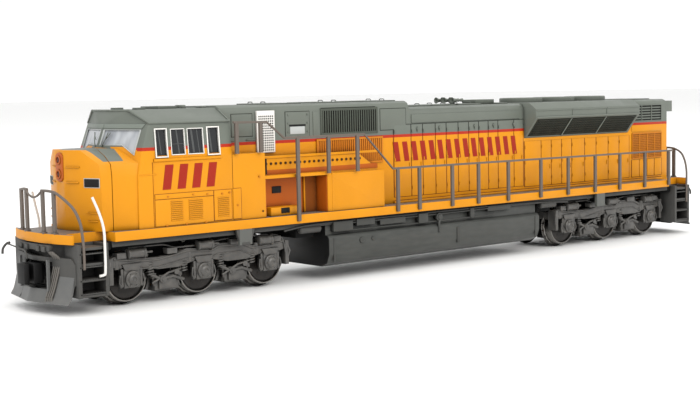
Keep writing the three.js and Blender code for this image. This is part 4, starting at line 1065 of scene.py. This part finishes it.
turned([(9.2, 0), (9.2, 0.4), (9.45, 0.36), (9.48, 0)], "y", (FILLER_X - 2.5, 0, 5.9), 16)
block(-4.6, -3.8, 9.2, 9.42, 3.4, 6.2)
for x0, x1, z0, z1, y in ((20.4, 24.6, 7.7, 9.3, 9.2), (15.6, 19.6, 8.3, 9.4, 9.3),
                          (8.4, 14.2, 8.0, 9.0, 9.1), (3.2, 5.4, 7.6, 9.2, 9.3),
                          (-8.4, -7.4, 7.6, 9.3, 9.2), (-18.0, -12.0, 8.4, 9.3, 9.1)):
    block(x0, x1, 8.4, y, z0, z1)
turned([(8.6, 0), (8.6, 0.75), (9.3, 0.75), (9.3, 0.5), (9.5, 0.45), (9.5, 0)], "y", (0.4, 0, 8.3), 18)
tube(smooth_path([(0.4, 9.2, 7.8), (0.6, 9.3, 7.2), (0.6, 9.34, 6.4), (0.6, 9.3, 5.6)], 4), 0.26, 8)
for z in (7.7, 8.9):
    tube([(24.0, 9.0, z), (6.0, 9.0, z - 0.1), (-14.0, 9.0, z)], 0.13, 6)
pair("tank_fittings", tank_gray, soft=0.04)


# ---------------------------------------------------------------- trucks and wheels
AXLE_SPACING = 12.8
BETWEEN_AXLES = AXLE_SPACING / 2
TRUCK_X = {"front": 49.2, "rear": -49.2}
AXLE_Z = 3.5


def truck_beam(middle):
    """The side beam: it humps over each journal and hangs between the wheels."""
    top = [(-16.0, 6.9), (-14.9, 7.35), (-9.5, 6.6), (-7.4, 7.5), (-2.8, 7.5), (-1.4, 6.9), (3.0, 7.3),
           (5.0, 6.7), (8.2, 6.4), (12.0, 6.6), (15.2, 7.2), (16.2, 6.9)]
    bottom = [(16.2, 5.6), (14.6, 5.3), (12.8, 5.9), (11.0, 5.2), (8.2, 4.6), (4.6, 4.6), (1.8, 5.2),
              (0, 5.9), (-1.8, 5.2),
              (-4.6, 4.6), (-8.2, 4.6), (-11.0, 5.2), (-12.8, 5.9), (-14.6, 5.3), (-16.0, 5.6)]
    plate([(middle + x, z) for x, z in top + bottom], "y", 6.1, 7.2)
    ridge = [(-15.6, 6.8), (-9.5, 6.2), (-7.4, 7.1), (-2.8, 7.1), (-1.4, 6.5), (3.0, 6.9), (8.2, 6.05),
             (12.0, 6.2), (15.8, 6.8)]
    tube([(middle + x, 7.22, z) for x, z in ridge], 0.17, 6)
    tube([(middle + x, 7.22, z - 1.15) for x, z in ridge[1:-1]], 0.13, 6)


def journal(x):
    block(x - 1.35, x + 1.35, 6.2, 7.35, 2.3, 5.6)
    plate([(x - 1.7, 5.9), (x - 1.2, 4.9), (x + 1.2, 4.9), (x + 1.7, 5.9)], "y", 7.1, 7.5)
    turned([(7.2, 0), (7.2, 1.25), (7.65, 1.25), (7.75, 1.1), (7.75, 0.9), (7.9, 0.85), (8.1, 0.6),
            (8.15, 0.35), (8.02, 0.3), (8.02, 0)], "y", (x, 0, AXLE_Z + 0.1), 28)
    for k in range(6):
        turn = math.pi * k / 3
        cx, cz = x + 1.0 * math.cos(turn), AXLE_Z + 0.1 + 1.0 * math.sin(turn)
        turned([(7.7, 0), (7.7, 0.13), (7.85, 0.13), (7.85, 0)], "y", (cx, 0, cz), 6)
    for s in (-1, 1):
        block(x + s * 1.62 - 0.22, x + s * 1.62 + 0.22, 6.3, 7.3, 2.5, 5.2)
        tube([(x + s * 1.75, 7.15, 2.4), (x + s * 2.15, 7.3, 3.2), (x + s * 1.95, 7.2, 4.3)], 0.16, 6)


def coil_spring(x, y, low, high, radius=0.55):
    turns = 5
    points = []
    for k in range(turns * 8 + 1):
        turn = 2 * math.pi * k / 8
        points.append((x + radius * math.cos(turn), y + radius * math.sin(turn),
                       low + (high - low) * k / (turns * 8)))
    tube(points, 0.14, 5)
    turned([(low, 0), (low, 0.35), (high, 0.35), (high, 0)], "z", (x, y, 0), 10)


def brake_cylinder(x0, x1, z, y=7.2):
    profile = [(x0, 0), (x0, 0.55), (x0 + 0.15, 0.85), (x0 + 0.5, 0.88), (x0 + 0.55, 0.74),
               (x1 - 0.5, 0.72), (x1 - 0.45, 0.82), (x1 - 0.15, 0.8), (x1, 0.4), (x1, 0)]
    turned(profile, "x", (0, y, z), 20)
    turned([(x0 - 1.2, 0), (x0 - 1.2, 0.2), (x0, 0.2), (x0, 0)], "x", (0, y, z), 8)


def brake_rigging(x):
    """The hanger, shoe and lever between two wheels."""
    for s in (-1, 1):
        wheel = x + s * BETWEEN_AXLES
        points = []
        for k in range(7):
            turn = math.radians(-32 + 12 * k)
            points.append((wheel - s * 3.75 * math.cos(turn), AXLE_Z + 3.75 * math.sin(turn)))
        outer = [(px - s * 0.55, pz) for px, pz in points[::-1]]
        plate(points + outer, "y", 4.4, 5.6)
        tube([(wheel - s * 4.2, 6.2, 5.6), (wheel - s * 4.1, 6.5, 4.0), (wheel - s * 4.3, 6.4, 2.0)], 0.24,
             6)
        block(wheel - s * 4.1 - 0.35, wheel - s * 4.1 + 0.35, 5.2, 6.9, 3.2, 4.0)
    block(x - 2.1, x + 2.1, 5.6, 6.6, 1.3, 2.9)
    block(x - 1.5, x + 1.5, 6.4, 7.0, 1.5, 3.6)
    tube([(x - 3.0, 6.8, 2.6), (x - 0.8, 7.1, 3.3), (x + 1.2, 7.0, 3.0), (x + 3.0, 6.9, 3.9)], 0.26, 8)
    tube([(x - 2.6, 6.9, 4.3), (x, 7.2, 3.9), (x + 2.7, 6.9, 2.5)], 0.18, 8)
    turned([(6.6, 0), (6.6, 0.6), (7.3, 0.6), (7.3, 0.3), (7.42, 0.3), (7.42, 0)], "y", (x + 0.9, 0, 3.0),
           12)
    turned([(6.6, 0), (6.6, 0.45), (7.3, 0.45), (7.3, 0)], "y", (x - 1.5, 0, 3.9), 10)


# Truck castings
for end, middle in TRUCK_X.items():
    truck_beam(middle)
    for i in (-1, 0, 1):
        journal(middle + i * AXLE_SPACING)
    for s in (-1, 1):
        brake_rigging(middle + s * BETWEEN_AXLES)
    for x in (-9.4, -3.4, 3.4, 9.4):
        coil_spring(middle + x, 6.75, 3.9, 5.9)
    for x0, x1, z in ((10.3, 13.6, 7.4), (-1.8, 1.2, 7.6), (-13.3, -10.4, 7.3)):
        brake_cylinder(middle + x0, middle + x1, z)
    pipe = [(13.6, 7.2, 8.0), (13.2, 7.1, 8.2), (12.4, 7.0, 8.25), (7.6, 6.9, 8.25), (6.2, 6.9, 8.0),
            (4.8, 6.9, 7.6), (1.4, 7.0, 7.6)]
    tube(smooth_path([(middle + x, y, z) for x, y, z in pipe], 3), 0.15, 6)
    pipe = [(-2.2, 7.0, 7.9), (-4.6, 6.9, 8.15), (-9.0, 6.9, 8.15), (-13.6, 7.0, 8.0), (-15.4, 7.2, 7.2),
            (-15.9, 7.3, 5.0)]
    tube(smooth_path([(middle + x, y, z) for x, y, z in pipe], 3), 0.15, 6)
    for x, z, w in ((-6.2, 7.7, 1.2), (5.8, 7.3, 0.9), (-14.2, 7.4, 0.7), (14.6, 7.3, 0.8)):
        block(middle + x - w, middle + x + w, 6.3, 7.6, z - 0.5, z + 0.35)
    for x in (-16.2, 16.3):
        block(middle + x - 0.35, middle + x + 0.35, 5.4, 7.4, 3.0, 6.9)
        tube([(middle + x, 7.2, 6.4), (middle + x * 1.03, 7.4, 5.2), (middle + x, 7.0, 3.4)], 0.24, 6)
    for i in (-1, 0, 1):
        x = middle + i * AXLE_SPACING
        turned([(5.2, 0.3), (5.2, 0.62), (7.0, 0.62), (7.0, 0.3), (5.2, 0.3)], "z", (x + 2.4, 6.7, 0), 12)
    mirrored()
    block(middle - 16.4, middle - 15.9, -6.2, 6.2, 5.0, 6.4)
    block(middle + 15.9, middle + 16.4, -6.2, 6.2, 5.0, 6.4)
    block(middle - 9.3, middle + 9.3, -2.4, 2.4, 0.95, 1.6)
    for s in (-1, 1):
        block(middle + s * BETWEEN_AXLES - 1.2, middle + s * BETWEEN_AXLES + 1.2, -5.7, 5.7, 0.95, 1.6)
    stand(end + "_truck_casting", truck_gray, end + "_truck", 0.06, (end + "_truck_frame",))

# Wheels
for end, middle in TRUCK_X.items():
    for place, i in (("leading", 1), ("middle", 0), ("trailing", -1)):
        body = end + "_wheelset_" + place
        centre = (middle + i * AXLE_SPACING, 0, AXLE_Z)
        turned([(5.29, 0), (5.29, 2.95), (5.36, 2.9), (5.33, 2.2), (5.4, 1.25), (5.62, 1.1), (5.7, 0.8),
                (5.7, 0)],
               "y", centre, 40)
        for k in range(6):
            turn = math.pi * k / 3
            turned([(5.3, 0), (5.3, 0.28), (5.4, 0.28), (5.4, 0)], "y",
                   (centre[0] + 1.85 * math.cos(turn), 0, AXLE_Z + 1.85 * math.sin(turn)), 10)
        pair(body + "_web", wheel_black, body)
        ring = [(3.7, 3.0), (3.7, 4.0), (3.78, 4.05), (4.0, 4.04), (4.12, 3.9), (4.25, 3.56), (5.5, 3.51),
                (5.68, 3.42), (5.68, 3.26), (5.5, 3.2), (5.2, 2.9), (3.7, 3.0)]
        turned(ring, "y", centre, 56)
        bmesh.ops.remove_doubles(bm, verts=bm.verts[:], dist=1e-4)
        pair(body + "_tyres", tyre_steel, body)


# ---------------------------------------------------------------- ends
# Railings and chains
for end, s in ENDS.items():
    for name, side in SIDES.items():
        inner, outer = (73.6, 2.55), (73.15, 5.05)
        for x, y in (inner, outer):
            block(x - 0.16, x + 0.2, y - 0.38, y + 0.38, 11.0, 17.3)
            block(x - 0.3, x + 0.34, y - 0.5, y + 0.5, 11.0, 11.35)
        top = [(73.65, 2.2, 17.3), (73.4, 3.8, 17.3), (73.15, 5.4, 17.1)]
        if (end, name) != ("front", "right"):
            top += [(72.8, 7.2, 16.3), (72.0, 8.7, 14.8), (71.5, 9.5, 12.9), (71.3, 9.7, 11.0),
                    (71.2, 9.75, 9.0), (71.2, 9.75, 6.1)]
        tube(smooth_path(top, 5), 0.22, 8)
        flip(s, side)
        stand(f"{end}_end_railing_{name}", rail_gray, soft=0.04, stands_for=(f"{end}_handrail_{name}",))
    chain = [(73.75, 2.3, 17.1), (73.8, 1.2, 16.5), (73.8, 0, 16.25), (73.8, -1.2, 16.5),
             (73.75, -2.3, 17.1)]
    tube(smooth_path(chain, 6), 0.17, 6)
    flip(s)
    stand(end + "_gangway_chain", rail_gray)


BLADE_LOW, BLADE_HIGH = 1.1, 7.2
BLADE_THICKNESS = 0.3
BLADE_TIP = 75.5
BLADE_SWEEP = 0.2
BLADE_RAKE = 1.7


def blade_x(y, z):
    """The front of the curved plow: a shallow V in plan whose foot reaches forward."""
    return BLADE_TIP - BLADE_SWEEP * abs(y) - BLADE_RAKE * ((z - BLADE_LOW) / 6.1) ** 0.6


def curved_blade(y0, y1, z0, z1, parts=8):
    """A closed patch of the blade."""
    heights = [z0 + (z1 - z0) * j / parts for j in range(parts + 1)]
    places = [y0 + (y1 - y0) * i / parts for i in range(parts + 1)]
    skins = []
    for back in (0.0, BLADE_THICKNESS):
        skins.append([[bm.verts.new((blade_x(y, z) - back, y, z)) for z in heights] for y in places])
    front, rear = skins
    for i in range(parts):
        for j in range(parts):
            bm.faces.new((front[i][j], front[i + 1][j], front[i + 1][j + 1], front[i][j + 1]))
            bm.faces.new((rear[i][j], rear[i][j + 1], rear[i + 1][j + 1], rear[i + 1][j]))
    for i in range(parts):
        bm.faces.new((front[i][0], rear[i][0], rear[i + 1][0], front[i + 1][0]))
        bm.faces.new((front[i][-1], front[i + 1][-1], rear[i + 1][-1], rear[i][-1]))
        bm.faces.new((front[0][i], front[0][i + 1], rear[0][i + 1], rear[0][i]))
        bm.faces.new((front[-1][i], rear[-1][i], rear[-1][i + 1], front[-1][i + 1]))


# The white bars beside the front steps, with a foot turned towards the step
for name, side in SIDES.items():
    bar = [(69.3, 9.3, 16.4), (68.6, 9.8, 14.2), (68.0, 9.98, 11.8), (67.9, 9.98, 9.0), (67.95, 9.98, 5.6),
           (68.2, 9.98, 5.1), (68.9, 9.98, 5.0)]
    tube([(x, side * y, z) for x, y, z in smooth_path(bar, 5)], 0.2, 8)
    stand("stair_bar_" + name, white, stands_for=("stair_grab_" + name,))

# Plows, uncoupling levers, hoses and steps
for end, s in ENDS.items():
    for side in (1, -1):
        curved_blade(side * 4.2, side * 8.9, BLADE_LOW, BLADE_HIGH)
    curved_blade(-4.2, 4.2, BLADE_LOW, 3.0)
    for side in (1, -1):
        block(73.9, 74.3, *span(side, 4.1, 4.5), 2.8, 7.4)
    flip(s)
    stand(end + "_plow_blade", plow_gray)
    lever = [(74.2, -7.3, 9.1), (74.7, -7.6, 8.9), (75.2, -7.8, 8.2), (75.3, -7.8, 7.4)]
    tube([(x, s * y, z) for x, y, z in smooth_path(lever, 4)], 0.2, 6)
    lever = [(74.6, -7.4, 8.9), (74.6, -6.2, 8.8), (74.7, -2.0, 8.4), (75.0, -0.6, 8.0), (75.1, -0.2, 7.2)]
    tube([(x, s * y, z) for x, y, z in smooth_path(lever, 4)], 0.13, 6)
    block(73.6, 74.2, -4.9, 4.9, 8.6, 9.5)
    for y in (-3.6, -1.8, 1.8, 3.6):
        block(74.1, 74.45, y - 0.45, y + 0.45, 8.5, 9.3)
    flip(s)
    stand(end + "_uncoupling_lever", frame_gray, soft=0.04)
    # A near-black sheet behind the plow: painted shade.
    block(72.3, 72.9, -5.6, 5.6, 1.5, 3.2)
    for side in (1, -1):
        block(72.3, 72.9, side * 3.3, side * 5.6, 3.2, 7.2)
    flip(s)
    stand(end + "_pilot_shade_sheet", pitch_dark)
    for k in range(4):
        y = 4.6 + 0.4 * k
        hose = [(74.1, y, 8.6)]
        for z in (7.3, 6, 4.6, 3.2, 1.9):
            across = y - 0.12 * (7.3 - z)
            hose.append((blade_x(across, z) + 0.16, across, z))
        tube([(x, s * across, z) for x, across, z in smooth_path(hose, 4)], 0.15, 7)
        turned([(1.3, 0), (1.3, 0.2), (1.9, 0.22), (1.9, 0)], "z", (hose[-1][0], s * hose[-1][1], 0), 8)
    flip(s)
    stand(end + "_brake_hoses", hose_gray)
    for z in (2.4, 4.35, 6.3, 8.2):
        block(67.8, 71.9, 6.6, 9.75, z + 0.05, z + 0.2)
        rows_of(bar_rows, (68.1, 8.2, z + 0.24), (9, (0.42, 0, 0)), ONCE, (0.14, 2.9, 0.12))
    mirrored()
    flip(s)
    stand(end + "_step_treads", frame_gray)


FINISHES = {
    zinc: ["chassis_half_left", "chassis_half_right"],
    board_green: ["light_board"],
    steel: ["motor_case", "motor_armature"],
    brass: ["front_flywheel", "rear_flywheel", "front_worm", "rear_worm"],
    natural_acetal: [n for n in nodes if "cardan" in n or "tower_gear" in n or "idler_gear" in n],
    black: ["front_gear_case", "rear_gear_case"],
    side_glass: ["cab_glazing"],
    # The light guides take the glass with the painted reflection.
    windscreen: ["front_light_guide", "rear_light_guide"],
    wheel_black: [n for n in nodes if "wheelset" in n],
    screen: ["radiator_grille_left", "radiator_grille_right"],
}
for material, names in FINISHES.items():
    for node_name in names:
        nodes[node_name].data.materials.clear()
        nodes[node_name].data.materials.append(material)
